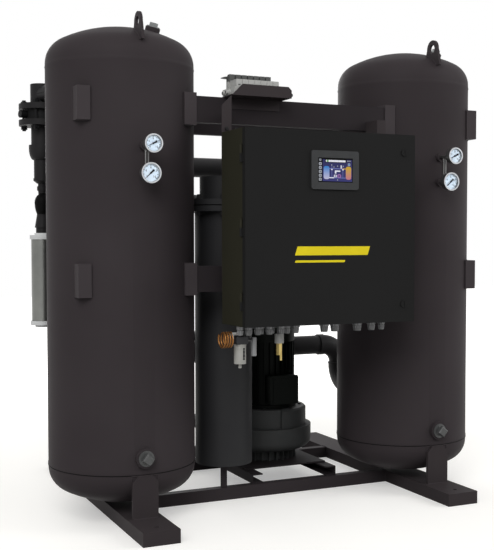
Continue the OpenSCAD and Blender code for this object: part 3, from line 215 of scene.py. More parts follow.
def stretched(tree, point, scale):
    mapping = tree.nodes.new("ShaderNodeMapping")
    mapping.inputs["Scale"].default_value = scale
    tree.links.new(point, mapping.inputs["Vector"])
    return mapping.outputs[0]


def noise(tree, point, scale, detail=3.0):
    node = tree.nodes.new("ShaderNodeTexNoise")
    node.inputs["Scale"].default_value = scale
    node.inputs["Detail"].default_value = detail
    tree.links.new(point, node.inputs["Vector"])
    return node.outputs["Fac"]


def between(tree, fac, low, high, start=0.3, end=0.7):
    """Map a value from start to end, by default the middle of a noise, to the range low to high."""
    node = tree.nodes.new("ShaderNodeMapRange")
    node.inputs["From Min"].default_value = start
    node.inputs["From Max"].default_value = end
    node.inputs["To Min"].default_value = low
    node.inputs["To Max"].default_value = high
    tree.links.new(fac, node.inputs["Value"])
    return node.outputs[0]


def blend_colour(tree, fac, a, b):
    node = tree.nodes.new("ShaderNodeMix")
    node.data_type = "RGBA"
    node.inputs[6].default_value = a
    node.inputs[7].default_value = b
    tree.links.new(fac, node.inputs[0])
    return node.outputs[2]


def add_bump(tree, shader, height, strength, distance):
    bump = tree.nodes.new("ShaderNodeBump")
    bump.inputs["Strength"].default_value = strength
    bump.inputs["Distance"].default_value = distance
    tree.links.new(height, bump.inputs["Height"])
    tree.links.new(bump.outputs[0], shader.inputs["Normal"])


def finish(name, low, high, rough, metallic=0.0, patch=5.0, grain=450.0, relief=0.12, depth=0.0004,
           stretch=None, specular=0.2):
    """A surface that varies softly between two colours, with its own grain in roughness and relief."""
    mat = bpy.data.materials.new(name)
    mat.use_nodes = True
    tree = mat.node_tree
    shader = tree.nodes["Principled BSDF"]
    point = object_point(tree)
    fine_point = stretched(tree, point, stretch) if stretch else point
    broad = between(tree, noise(tree, point, patch), 0, 1)
    fine = noise(tree, fine_point, grain, 2.0)
    tree.links.new(blend_colour(tree, broad, shade(low), shade(high)), shader.inputs["Base Color"])
    tree.links.new(between(tree, fine, rough[0], rough[1]), shader.inputs["Roughness"])
    shader.inputs["Metallic"].default_value = metallic
    shader.inputs["Specular IOR Level"].default_value = specular
    add_bump(tree, shader, fine, relief, depth)
    return mat


def clear_glass(name):
    mat = bpy.data.materials.new(name)
    mat.use_nodes = True
    shader = mat.node_tree.nodes["Principled BSDF"]
    shader.inputs["Base Color"].default_value = (0.95, 0.98, 1, 1)
    shader.inputs["Roughness"].default_value = 0.03
    shader.inputs["Transmission Weight"].default_value = 1.0
    shader.inputs["IOR"].default_value = 1.2
    return mat


def lit(name, low, high, glow, span):
    """A part of the display that gives its own light, blending between two colours up its height."""
    mat = bpy.data.materials.new(name)
    mat.use_nodes = True
    tree = mat.node_tree
    shader = tree.nodes["Principled BSDF"]
    split = tree.nodes.new("ShaderNodeSeparateXYZ")
    tree.links.new(object_point(tree), split.inputs[0])
    height = between(tree, split.outputs["Z"], 0, 1, span[0], span[1])
    colour = blend_colour(tree, height, shade(low), shade(high))
    tree.links.new(colour, shader.inputs["Emission Color"])
    shader.inputs["Emission Strength"].default_value = glow
    shader.inputs["Base Color"].default_value = (0.01, 0.01, 0.012, 1)
    shader.inputs["Roughness"].default_value = 0.3
    shader.inputs["Specular IOR Level"].default_value = 0.1
    return mat


PAINT = finish("charcoal_powder_coat", "363133", "3b3638", (0.5, 0.62), patch=2.5, relief=0.10,
               specular=0.05)
PLATE = finish("charcoal_plate_coat", "373234", "3c3738", (0.5, 0.62), patch=3.5, relief=0.10,
               specular=0.05)
# A darker copy of the charcoal coat for the tie beams and the blower's channels and plate: painted shade for
# their places between and under other parts.
BEAM_SHADE_COAT = finish("charcoal_beam_coat", "2c282a", "302c2e", (0.5, 0.62), patch=3.5, relief=0.10,
              specular=0.04)
CABINET = finish("door_black", "202020", "222222", (0.5, 0.62), patch=2.0, relief=0.10, specular=0.04)
# A lighter, olive copy of the door's black for the cabinet box and hinge pins: painted light on the box's
# lit left side.
BOX_LIGHT_COAT = finish("cabinet_black", "2e2d24", "313027", (0.5, 0.62), patch=2.0, relief=0.10, specular=0.04)
STEEL = finish("zinc_steel", "a9a9a6", "bdbdb9", (0.24, 0.36), metallic=1.0, patch=30, grain=900)
CASE = finish("gauge_case_steel", "c2c4c8", "cfd1d4", (0.3, 0.42), metallic=0.35, patch=40,
              grain=900, specular=0.5)
# A lighter copy of the charcoal coat for the mounting pads: painted light on their front faces.
PAD_LIGHT_COAT = finish("charcoal_pad_coat", "3e393b", "433e40", (0.5, 0.62), patch=3.5, relief=0.10, specular=0.05)
CAST = finish("cast_plug", "7c7e7e", "888a8a", (0.4, 0.52), metallic=0.2, patch=40, grain=700,
              relief=0.2)
# Steel of the gauge stems, also put on the gauge cases' sides and backs as painted shade.
STEM_STEEL_AND_SHADE = finish("stem_steel", "6c6c6c", "7a7a79", (0.3, 0.42), metallic=0.9, patch=40, grain=900)
MUFFLER = finish("muffler_aluminium", "6a6b69", "757673", (0.28, 0.4), metallic=0.9, patch=14, grain=700,
                 stretch=(1, 1, 0.08), relief=0.08)
CAP = finish("muffler_cap", "d8d9d9", "e0e1e1", (0.4, 0.52), metallic=0.0, patch=25, grain=800)
BEADS = finish("bead_white", "e6e2d8", "d8d3c6", (0.7, 0.85), patch=60, grain=260, relief=0.6,
               depth=0.002)
DIAL = finish("dial_enamel", "dbe8f6", "e6eff9", (0.4, 0.5), patch=20, relief=0.02, specular=0.3)
GLASS = clear_glass("gauge_glass")
BLUE = finish("pointer_blue", "060a16", "080d1c", (0.4, 0.5), patch=80)
GREY = finish("pointer_grey", "0e1014", "14161a", (0.4, 0.5), patch=80)
PRINT = finish("dial_print", "0a1128", "0f1832", (0.5, 0.6), patch=90, relief=0.02)
IVORY = finish("ivory_plastic", "a9a9a6", "b3b3b0", (0.42, 0.55), patch=25, grain=800)
WHITE = finish("white_plastic", "a5a49e", "b0afaa", (0.4, 0.52), patch=25, grain=800)
COIL = finish("coil_plastic", "4b4c4b", "545554", (0.45, 0.58), patch=40, grain=800)
# Dark plastic, also used for the strips of painted shade between the solenoid coils.
DARK_PLASTIC_AND_SHADE = finish("dark_plastic", "202122", "262728", (0.5, 0.62), patch=40, grain=800)
RUBBER = finish("seal_rubber", "141414", "191919", (0.75, 0.9), patch=30, grain=500)
BEZEL = finish("bezel_plastic", "363738", "3a3b3c", (0.48, 0.6), patch=20, grain=900, specular=0.15)
PANEL = finish("panel_paint", "c9c8c2", "d3d2cc", (0.5, 0.6), patch=6)
DEVICE = finish("device_plastic", "b9b9b4", "c6c6c1", (0.5, 0.62), patch=18, grain=800)
GLAND = finish("gland_nylon", "666768", "707172", (0.3, 0.42), patch=40, grain=800, specular=0.4)
NUT = finish("gland_nut", "8b8c8e", "979899", (0.25, 0.38), patch=40, grain=800, specular=0.5)
COPPER = finish("copper_tube", "7b532c", "936536", (0.35, 0.5), metallic=0.75, patch=60, grain=900)
BRASS = finish("brass", "a8935a", "bda86c", (0.3, 0.42), metallic=0.8, patch=60, grain=900)
HEAD = finish("filter_head", "2b2b2d", "323234", (0.45, 0.58), patch=40, grain=700)
# A lighter copy of the housing's cast finish for the silencer block's upward faces: painted light on its
# top.
BLOCK_TOP_HIGHLIGHT = finish("machined_block_top", "4c4d4d", "565757", (0.5, 0.62), patch=9, grain=380, relief=0.2)
HOUSING = finish("cast_housing", "353636", "3d3e3e", (0.55, 0.7), patch=9, grain=380, relief=0.3)
MOTOR = finish("motor_enamel", "080b09", "0b0e0c", (0.45, 0.58), patch=6, grain=420, relief=0.2,
               specular=0.06)
VALVE = finish("valve_enamel", "131314", "171718", (0.45, 0.6), patch=9, grain=380, relief=0.25,
               specular=0.1)
PIPE = finish("pipe_black_paint", "343334", "393839", (0.45, 0.58), patch=4, relief=0.12, specular=0.14)
STACK = finish("stack_black_paint", "232223", "282728", (0.45, 0.58), patch=4, relief=0.12, specular=0.1)
HEATER = finish("heater_black_paint", "28282a", "2d2d2e", (0.48, 0.6), patch=4, relief=0.12,
                specular=0.14)
BLACK = finish("black_plastic", "080808", "0b0b0b", (0.5, 0.62), patch=30, grain=700, specular=0.05)
STRIPE = finish("yellow_film", "e0cc18", "e8d41e", (0.4, 0.5), patch=12, grain=900, relief=0.03)
PLUG = finish("plug_iron", "474848", "515252", (0.4, 0.52), metallic=0.2, patch=40, grain=500,
              relief=0.2, specular=0.4)
BOLT = finish("black_oxide_bolt", "1c1b1c", "242324", (0.4, 0.55), metallic=0.3, patch=60, grain=700)

NODE_FINISH = {
    PAINT: "left_tower right_tower lifting_lugs heater_leg "
           "front_cross_member middle_cross_member rear_cross_member",
    PLATE: "left_skid_rail right_skid_rail tower_legs cabinet_straps valve_tray",
    PAD_LIGHT_COAT: "mounting_pads",
    # Beams and blower base take the darker coat: painted shade.
    BEAM_SHADE_COAT: "front_tie_beams rear_tie_beams blower_channels blower_plate",
    PLUG: "drain_plugs",
    PIPE: "inlet_manifold outlet_manifold purge_piping",
    STACK: "exhaust_stacks",
    HEATER: "heater_shell heater_head",
    CABINET: "cabinet_door upper_latch lower_latch",
    BOX_LIGHT_COAT: "cabinet_box hinge_pins",
    STEEL: "bed_screens panel_rails heater_elements blower_impeller",
    CASE: "gauge_cases",
    CAST: "fill_plugs",
    STEM_STEEL_AND_SHADE: "gauge_stems",
    WHITE: "pilot_filter",
    MUFFLER: "mufflers",
    BEADS: "left_desiccant right_desiccant",
    DIAL: "gauge_dials",
    GLASS: "gauge_glasses",
    BLUE: "left_upper_pointer right_upper_pointer",
    GREY: "left_lower_pointer right_lower_pointer",
    IVORY: "valve_manifold pressure_switch",
    COIL: "solenoid_coils",
    RUBBER: "door_gasket",
    BEZEL: "display_bezel",
    BLACK: "display_screen",
    PANEL: "panel_plate",
    DEVICE: "panel_devices",
    GLAND: "cable_glands",
    COPPER: "pilot_coil",
    HOUSING: "blower_housing blower_silencer",
    MOTOR: "blower_motor",
    VALVE: "wafer_valves",
}
SHARP_ANGLE = math.radians(32)
WELD_GAP = 0.00001


def smooth(obj):
    """Smooth shading that keeps sharp edges."""
    for face in obj.data.polygons:
        face.use_smooth = True
    split = obj.modifiers.new("split", "EDGE_SPLIT")
    split.split_angle = SHARP_ANGLE


def dress_nodes():
    """Give each CAD node its finish and smooth curved faces."""
    for mat, names in NODE_FINISH.items():
        for name in names.split():
            obj = nodes[name]
            obj.data.materials.clear()
            obj.data.materials.append(mat)
            weld = obj.modifiers.new("weld", "WELD")
            weld.merge_threshold = WELD_GAP
            smooth(obj)


def repaint(name, mat, inside):
    """Give a node's faces whose middle passes the test another finish."""
    data = nodes[name].data
    data.materials.append(mat)
    index = len(data.materials) - 1
    for face in data.polygons:
        if inside(face):
            face.material_index = index


def within(low, high):
    """A test for faces whose middle lies between two heights in millimetres."""
    return lambda face: low * MM < face.center.z < high * MM


def near_shell(face):
    """Faces of the gauge fittings that are welded to a tower."""
    p = face.center
    return math.hypot(abs(p.x) - TOWER_X, p.y - TOWER_Y) < TOWER_R + BOSS_REACH


# Where a piece changes its material: heights and places in millimetres, and the tilt of faces
BOWL_TOP = 681
HEAD_TOP = 760
JOINT = 0.5
SILENCER_SIDE = -285
SILENCER_Z = (642, 692)
FITTING_Z = (600, 676.5)
ROD_END = -357
ROD_Z = (708, 726)
UNION_Z = (1166, 1256)
MUFFLER_BODY = (711, 1061)
BOSS_REACH = 26 * MM
CASE_FRONT = -0.3
FACES_UP = 0.8


def repaint_nodes():
    """Pieces that are made of two materials, and faces given painted light or painted shade."""
    repaint("pilot_filter", HEAD, within(BOWL_TOP - JOINT, HEAD_TOP))
    small = within(*SILENCER_Z)
    repaint("pilot_filter", NUT, lambda face: small(face) and face.center.x > SILENCER_SIDE * MM)
    repaint("pressure_switch", BRASS, within(*FITTING_Z))
    rod = within(*ROD_Z)
    repaint("pilot_coil", IVORY, lambda face: rod(face) and face.center.x > ROD_END * MM)
    repaint("exhaust_stacks", BLACK, within(*UNION_Z))
    body = within(*MUFFLER_BODY)
    repaint("mufflers", CAP, lambda face: not body(face))
    repaint("gauge_stems", PAINT, near_shell)
    # The gauge cases' faces that don't face the front take the darker stem steel: painted shade on their
    # sides and backs.
    repaint("gauge_cases", STEM_STEEL_AND_SHADE, lambda face: face.normal.y > CASE_FRONT)
    # The silencer's upward faces take the lighter finish: painted light on its top.
    repaint("blower_silencer", BLOCK_TOP_HIGHLIGHT, lambda face: face.normal.z > FACES_UP)


# Mesh building

def turns(count, start=0.0):
    """Angles that divide a full turn evenly."""
    return [start + 2 * math.pi * i / count for i in range(count)]


def around(a):
    """Unit vector at an angle in the plane of the floor."""
    return Vector((math.cos(a), math.sin(a), 0))


def upright(a):
    """Unit vector at an angle in the plane of the dials."""
    return Vector((math.cos(a), 0, math.sin(a)))


def extent(points):
    """The least and greatest x, and the least and greatest y, of some points."""
    xs = [p.x for p in points]
    ys = [p.y for p in points]
    return min(xs), max(xs), min(ys), max(ys)


def in_mm(outline):
    """An outline given in millimetres, in metres."""
    return [(x * MM, y * MM) for x, y in outline]


def cross_axes(axis):
    """Two unit vectors square to an axis, and the axis itself."""
    axis = Vector(axis).normalized()
    helper = Vector((0, 0, 1)) if abs(axis.z) < 0.9 else Vector((1, 0, 0))
    u = axis.cross(helper).normalized()
    return u, axis.cross(u), axis


def rounded(w, h, r, steps=4):
    """Outline of a rectangle about the origin with round corners."""
    out = []
    for k, (sx, sy) in enumerate(((1, 1), (-1, 1), (-1, -1), (1, -1))):
        for i in range(steps + 1):
            a = math.pi / 2 * (k + i / steps)
            out.append((sx * (w / 2 - r) + r * math.cos(a), sy * (h / 2 - r) + r * math.sin(a)))
    return out


def resample(points, step):
    """Points about a step apart along a path."""
    out = []
    for a, b in zip(points, points[1:]):
        a = Vector(a)
        b = Vector(b)
        count = max(1, round((b - a).length / step))
        out += [a.lerp(b, i / count) for i in range(count)]
    return out + [Vector(points[-1])]


class Shape:
    """A mesh being built, in metres. mat is the material index of what is added next."""

    def __init__(self):
        self.mesh = bmesh.new()
        self.mat = 0

    def loft(self, rings):
        """A closed skin over rings of points that all have the same count."""
        made = [[self.mesh.verts.new(p) for p in ring] for ring in rings]
        faces = [made[0][::-1], made[-1]]
        count = len(made[0])
        for a, b in zip(made, made[1:]):
            for i in range(count):
                j = (i + 1) % count
                faces.append((a[i], a[j], b[j], b[i]))
        for face in faces:
            self.mesh.faces.new(face).material_index = self.mat

    def lathe(self, profile, at, axis=(0, 0, 1), steps=24, start=0.0):
        """A turned form: a profile of radius and height pairs about an axis."""
        u, v, w = cross_axes(axis)
        at = Vector(at)
        self.loft([[at + w * h + r * (u * math.cos(a) + v * math.sin(a)) for a in turns(steps, start)]
                   for r, h in profile])

    def prism(self, outline, at, depth, u=(1, 0, 0), v=(0, 0, 1)):
        """An outline in the plane of u and v, raised by a depth along their cross product."""
        u = Vector(u)
        v = Vector(v)
        base = [Vector(at) + u * x + v * y for x, y in outline]
        rise = u.cross(v) * depth
        self.loft([base, [p + rise for p in base]])

    def tube(self, path, radius, sides=8):
        """A tube along a path. The radius is a number, or a function of the point's index."""
        rings = []
        side = None
        last = len(path) - 1
        for i, p in enumerate(path):
            ahead = (path[min(i + 1, last)] - path[max(i - 1, 0)]).normalized()
            if side is None:
                side = cross_axes(ahead)[0]
            else:
                side = (side - ahead * side.dot(ahead)).normalized()
            other = ahead.cross(side)
            r = radius(i) if callable(radius) else radius
            rings.append([p + r * (side * math.cos(a) + other * math.sin(a)) for a in turns(sides)])
        self.loft(rings)

    def bead(self, points, r):
        """A rippled weld bead along a path."""
        path = resample(points, 1.5 * r)
        self.tube(path, lambda i: r * (1.0 if i % 2 else 0.82), 6)

    def bolt(self, at, axis, size):
        """Head of a hexagon bolt on its washer. The size is the thread's diameter."""
        washer = [(1.1, 0), (1.1, 0.16)]
        head = [(0.92, 0.16), (0.92, 0.68), (0.78, 0.8)]
        for profile, sides in ((washer, 20), (head, 6)):
            self.lathe([(r * size, h * size) for r, h in profile], at, axis, sides)

    def done(self, name, mats, body="base"):
        """Turn the mesh into a piece that rides on a body."""
        bmesh.ops.recalc_face_normals(self.mesh, faces=self.mesh.faces)
        data = bpy.data.meshes.new(name)
        self.mesh.to_mesh(data)
        self.mesh.free()
        for mat in mats:
            data.materials.append(mat)
        obj = bpy.data.objects.new(name, data)
        bpy.context.scene.collection.objects.link(obj)
        smooth(obj)
        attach(obj, body)


# Towers and skid: weld beads

CROWN_R = 502.9 * MM
KNUCKLE_R = 95 * MM
TANGENT_Z = 1717 * MM
PAD_ANGLE = math.radians(46)
PAD_W = 48 * MM
PAD_H = 120 * MM
PAD_ZS = (911 * MM, 1543 * MM)
BEAD_R = 3 * MM
LEG_HALF = 48.5 * MM
LEG_TOP = 205 * MM
LEG_BEAD_H = 22 * MM
LEG_FRONT = -517.5 * MM
RAIL_TOP = 50 * MM
SHELL_STEP = 8 * MM
DOME_STEP = 6 * MM
CROSS_MEMBERS = ("front_cross_member", "middle_cross_member", "rear_cross_member")


def dome_z(r):
    """Height of the upper dished head at a distance from the tower's axis."""
    knuckle_at = TOWER_R - KNUCKLE_R
    centre = TANGENT_Z - math.sqrt((CROWN_R - KNUCKLE_R) ** 2 - knuckle_at ** 2)
    meet = CROWN_R * knuckle_at / (CROWN_R - KNUCKLE_R)
    if r < meet:
        return centre + math.sqrt(CROWN_R ** 2 - r ** 2)
    return TANGENT_Z + math.sqrt(max(KNUCKLE_R ** 2 - (r - knuckle_at) ** 2, 0))


def shell_point(tower, side, dx, z):
    """A point of a tower's shell, on its front for side -1 or its back for side 1."""
    return Vector((tower + dx, TOWER_Y + side * math.sqrt(TOWER_R ** 2 - dx ** 2), z))


def loop_of(x0, x1, y0, y1, step):
    """Points about a step apart round a rectangle."""
    corners = [(x0, y0, 0), (x1, y0, 0), (x1, y1, 0), (x0, y1, 0), (x0, y0, 0)]
    return resample(corners, step)


def dome_point(tower, x, y):
    """The point of a tower's upper head above a place."""
    return Vector((x, y, dome_z(math.hypot(x - tower, y - TOWER_Y))))


def lug_meets(tower):
    """Points of a lifting lug that lie on the dished head."""
    points = [v.co for v in nodes["lifting_lugs"].data.vertices if v.co.x * tower > 0]
    return [p for p in points if abs(p.z - dome_point(tower, p.x, p.y).z) < BEAD_R]


def add_shell_beads(shape, tower, side):
    """Beads round the pads and over the leg plate, on one side of a tower."""
    rings = []
    for s in (-1, 1):
        dx = s * TOWER_R * math.sin(PAD_ANGLE)
        for z in PAD_ZS:
            rings.append(loop_of(dx - PAD_W / 2, dx + PAD_W / 2, z - PAD_H / 2, z + PAD_H / 2, SHELL_STEP))
    low = LEG_TOP - LEG_BEAD_H
    leg = [(-LEG_HALF, low, 0), (-LEG_HALF, LEG_TOP, 0), (LEG_HALF, LEG_TOP, 0), (LEG_HALF, low, 0)]
    rings.append(resample(leg, SHELL_STEP))
    for ring in rings:
        shape.bead([shell_point(tower, side, p.x, p.y) for p in ring], BEAD_R)


def add_member_beads(shape, name):
    """Beads where a cross member meets the skid rails."""
    low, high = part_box(name)
    for x in (low[0], high[0]):
        for y in (low[1], high[1]):
            shape.bead([Vector((x, y, low[2] + BEAD_R)), Vector((x, y, high[2]))], BEAD_R)
        shape.bead([Vector((x, low[1], high[2])), Vector((x, high[1], high[2]))], BEAD_R)


def make_weld_beads():
    shape = Shape()
    for tower in TOWERS:
        for side in (-1, 1):
            add_shell_beads(shape, tower, side)
        ring = loop_of(*extent(lug_meets(tower)), DOME_STEP)
        shape.bead([dome_point(tower, p.x, p.y) for p in ring], BEAD_R)
        foot = [Vector((tower + s * LEG_HALF, LEG_FRONT, RAIL_TOP)) for s in (-1, 1)]
        shape.bead(foot, BEAD_R)
    for name in CROSS_MEMBERS:
        add_member_beads(shape, name)
    shape.done("weld_beads", [PAINT])


SEAM_Z = 208 * MM
SEAM_PROUD = 0.4 * MM
SEAM_R = 1.4 * MM


def make_seam_lines():
    """The dark undercut beside the lower head's weld."""
    shape = Shape()
    for tower in TOWERS:
        centre = Vector((tower, TOWER_Y, SEAM_Z))
        ring = [centre + around(a) * (TOWER_R + SEAM_PROUD) for a in turns(96)]
        shape.tube(ring + ring[:1], SEAM_R, 6)
    shape.done("seam_lines", [BLACK])


PLUG_HEAD = ((24, -2), (23, 9), (19, 12))
PLUG_TURN = math.radians(7)


def make_plug_heads():
    """Square heads on the drain plugs."""
    shape = Shape()
    for tower in TOWERS:
        verts = [v.co for v in nodes["drain_plugs"].data.vertices if v.co.x * tower > 0]
        centre = sum(verts, Vector()) / len(verts)
        axis = Vector((centre.x - tower, centre.y - TOWER_Y, 0)).normalized()
        reach = max((v - centre).dot(axis) for v in verts)
        shape.lathe(in_mm(PLUG_HEAD), centre + axis * reach, axis, 4, PLUG_TURN)
    shape.done("drain_plug_heads", [PLUG])


# Door: the display's picture and a plain stripe

DOOR_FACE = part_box("cabinet_door")[0][1]
# Left and right end, lower and upper edge of each bar, in millimetres
STRIPES = ((-146, 165, 1002, 1034), (-146, 60, 976, 984))
LEAN = 1 / 3
FILM = 0.3 * MM


def make_door_stripe():
    """Two plain slanted bars."""
    shape = Shape()
    for x0, x1, z0, z1 in STRIPES:
        lean = LEAN * (z1 - z0)
        outline = [(x0, z0), (x1 - lean, z0), (x1, z1), (x0 + lean, z1)]
        shape.prism(in_mm(outline), (0, DOOR_FACE, 0), FILM)
    shape.done("door_stripe", [STRIPE], "door")


SCREEN_LOW, SCREEN_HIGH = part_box("display_screen")
SCREEN_W = SCREEN_HIGH[0] - SCREEN_LOW[0]
SCREEN_H = SCREEN_HIGH[2] - SCREEN_LOW[2]
LAYER = 0.12 * MM


def screen_z(v):
    """Height of a place on the screen, from 0 at its top to 1 at its foot."""
    return SCREEN_HIGH[2] - v * SCREEN_H


def make_display():
    """A plain process picture: two capsules, flow lines, a button column and a bar."""
    capsule = (screen_z(0.87), screen_z(0.36))
    whole = (SCREEN_LOW[2], SCREEN_HIGH[2])
    mats = [
        lit("screen_field", "30316a", "232451", 1.0, whole),
        lit("screen_pale", "8e9298", "989ca4", 1.0, whole),
        lit("screen_white", "d4d6e4", "e2e2ea", 1.0, whole),
        lit("screen_cool", "b4b2cc", "2a78c0", 1.0, capsule),
        lit("screen_warm", "b8707c", "c09c16", 1.0, capsule),
        lit("screen_green", "5c8a58", "6c9a66", 1.0, whole),
        lit("screen_pink", "8a5f9a", "9a6ea8", 1.0, whole),
        lit("screen_line", "626aa6", "767eb8", 1.0, whole),
        BLACK,
    ]
    field, pale, white, cool, warm, green, pink, line, black = range(len(mats))
    shape = Shape()

    def patch(mat, u0, v0, u1, v1, level, round_by=0.0):
        """A field between two corners, given as shares of the screen, on one of its layers."""
        shape.mat = mat
        w = (u1 - u0) * SCREEN_W
        h = (v1 - v0) * SCREEN_H
        r = max(round_by * min(w, h), 0.05 * MM)
        x = SCREEN_LOW[0] + (u0 + u1) / 2 * SCREEN_W
        at = (x, SCREEN_LOW[1] - level * LAYER, screen_z((v0 + v1) / 2))
        shape.prism(rounded(w, h, r), at, LAYER)

    patch(field, 0.13, 0.06, 0.985, 0.965, 0)
    patch(black, 0.20, 0.05, 0.82, 0.19, 1, 0.1)
    patch(white, 0.22, 0.085, 0.79, 0.165, 2, 0.2)
    patch(green, 0.245, 0.085, 0.30, 0.165, 3, 0.2)
    for i in range(4):
        patch(line, 0.36 + 0.11 * i, 0.10, 0.365 + 0.11 * i, 0.15, 3)
    for i, v in enumerate((0.09, 0.25, 0.41, 0.57, 0.73, 0.89)):
        half = 0.028 if i == 0 else 0.042
        patch(pale, 0.062 - half, v - 1.5 * half, 0.062 + half, v + 1.5 * half, 1, 0.25)
        patch(black, 0.045, v - 0.012, 0.08, v + 0.012, 2, 0.3)
    for u0, u1 in ((0.835, 0.865), (0.875, 0.9), (0.91, 0.94)):
        patch(pale, u0, 0.09, u1, 0.13, 2, 0.3)
    patch(pale, 0.86, 0.2, 0.93, 0.31, 1, 0.2)
    patch(cool, 0.875, 0.225, 0.915, 0.285, 2, 0.3)
    patch(line, 0.31, 0.425, 0.70, 0.455, 1)
    patch(warm, 0.70, 0.42, 0.81, 0.455, 1)
    patch(white, 0.31, 0.795, 0.46, 0.835, 1)
    patch(line, 0.46, 0.80, 0.81, 0.83, 1)
    for u in (0.395, 0.715):
        patch(line, u - 0.006, 0.30, u + 0.006, 0.81, 1)
        patch(white, u - 0.02, 0.45, u + 0.02, 0.50, 2, 0.3)
    patch(white, 0.48, 0.51, 0.64, 0.565, 2, 0.1)
    patch(white, 0.48, 0.565, 0.525, 0.64, 2, 0.1)
    patch(white, 0.455, 0.69, 0.535, 0.79, 2, 0.15)
    patch(field, 0.475, 0.715, 0.515, 0.765, 3, 0.15)
    patch(pink, 0.55, 0.66, 0.665, 0.82, 2, 0.45)
    patch(field, 0.585, 0.705, 0.63, 0.775, 3, 0.45)
    patch(white, 0.65, 0.29, 0.68, 0.43, 2, 0.45)
    for u, v in ((0.39, 0.29), (0.455, 0.37), (0.56, 0.33), (0.725, 0.33), (0.56, 0.9)):
        patch(pale, u - 0.014, v - 0.025, u + 0.014, v + 0.025, 2, 0.4)
    patch(cool, 0.158, 0.34, 0.324, 0.88, 2, 0.35)
    patch(warm, 0.80, 0.34, 0.957, 0.88, 2, 0.35)
    shape.done("display_picture", mats, "door")


# Gauges: scale marks and numbers on the dials

POINTER_JOINTS = [joint for joint in frame["joints"] if "pointer" in joint["name"]]
SCALE_START = math.radians(225)
SCALE_SWEEP = math.radians(270)
MARKS = 40
MAJOR_EVERY = 5
NUMBER_EVERY = 10
NUMBER_STEP = 4
ARC_STEPS = 60
ARC_R = 0.25 * MM
PROUD = 0.15 * MM
DIAL_REACH = 45 * MM


def numeral(shape, text, at, height):
    """A number on a dial, as a flat mesh that faces the front."""
    curve = bpy.data.curves.new("numeral", "FONT")
    curve.body = text
    curve.size = height
    curve.align_x = "CENTER"
    curve.align_y = "CENTER"
    obj = bpy.data.objects.new("numeral", curve)
    bpy.context.scene.collection.objects.link(obj)
    bpy.context.view_layer.update()
    data = bpy.data.meshes.new_from_object(obj)
    facing = Matrix(((1, 0, 0, 0), (0, 0, -1, 0), (0, 1, 0, 0), (0, 0, 0, 1)))
    data.transform(Matrix.Translation(at) @ facing)
    shape.mesh.from_mesh(data)
    bpy.data.objects.remove(obj)
    bpy.data.curves.remove(curve)
    bpy.data.meshes.remove(data)


def gauge_centres():
    """Centre, dial radius and dial face of each gauge, from the pointers' joints and the dials' mesh."""
    verts = [v.co for v in nodes["gauge_dials"].data.vertices]
    out = []
    for joint in POINTER_JOINTS:
        centre = Vector(joint["pos_m"])
        near = [v for v in verts if math.hypot(v.x - centre.x, v.z - centre.z) < DIAL_REACH]
        radius = max(math.hypot(v.x - centre.x, v.z - centre.z) for v in near)
        out.append((centre, radius, min(v.y for v in near)))
    return out


def scale_turn(share):
    """Angle of a place on the scale, from 0 at its start to 1 at its end."""
    return SCALE_START - SCALE_SWEEP * share


def make_gauge_scales():
    shape = Shape()
    for centre, radius, face in gauge_centres():
        at = Vector((centre.x, face, centre.z))
        for i in range(MARKS + 1):
            turn = scale_turn(i / MARKS)
            major = i % MAJOR_EVERY == 0
            r1 = 0.93 * radius
            r0 = (0.78 if major else 0.86) * radius
            half = (1.1 if major else 0.6) * MM
            out = upright(turn)
            corners = [(r0, -half), (r1, -half), (r1, half), (r0, half)]
            shape.prism(corners, at, PROUD, out, upright(turn + math.pi / 2))
            if i % NUMBER_EVERY == 0:
                text = str(i // NUMBER_EVERY * NUMBER_STEP)
                numeral(shape, text, at + out * 0.6 * radius - Vector((0, PROUD, 0)), 0.36 * radius)
        front = at - Vector((0, 0.1 * MM, 0))
        arc = [front + upright(scale_turn(k / ARC_STEPS)) * 0.955 * radius for k in range(ARC_STEPS + 1)]
        shape.tube(arc, ARC_R, 5)
    shape.done("gauge_scales", [PRINT])


POINTER_TURN = {"upper": math.radians(207), "lower": math.radians(224)}
TAIL = ((0, -2), (6, -3), (14, -4), (16, 0), (14, 4), (6, 3), (0, 2))
NEEDLE = ((-21, -0.8), (0, -2), (0, 2), (-21, 0.8))
POINTER_THICK = 0.5 * MM
HUB = ((3.4, 0), (3.4, 1.2), (2.4, 1.8))


def make_pointer_tails():
    """The thick tail and hub of each pointer, which turn with it."""
    for joint in POINTER_JOINTS:
        name = joint["name"].replace("_turn", "")
        centre = Vector(joint["pos_m"])
        turn = POINTER_TURN["upper" if "upper" in name else "lower"] + math.pi
        at = Vector((centre.x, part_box(name)[0][1], centre.z))
        shape = Shape()
        for outline in (TAIL, NEEDLE):
            shape.prism(in_mm(outline), at, POINTER_THICK, upright(turn), upright(turn + math.pi / 2))
        shape.lathe(in_mm(HUB), at, (0, -1, 0), 20)
        shape.done(name + "_tail", [BLUE], name)


# Valve bank and tray fittings

VALVE_COUNT = 7
VALVE_PITCH = 25 * MM
FIRST_VALVE = 7 * MM
VALVE_SCREW = ((3.2, 0), (3.2, 1.6), (2.4, 2.2))
COIL_GAP_SHADE = ((-2.6, 0), (2.6, 0), (2.6, 24), (-2.6, 24))
LEVER = ((0, -4), (0, 6), (-10, 5), (-23, 1), (-26, -2), (-20, -3))
PORT = ((11, 0), (11, 5), (8, 6), (8, 15), (6, 16))
PORT_MOUTH = ((5, 16), (5, 16.6))


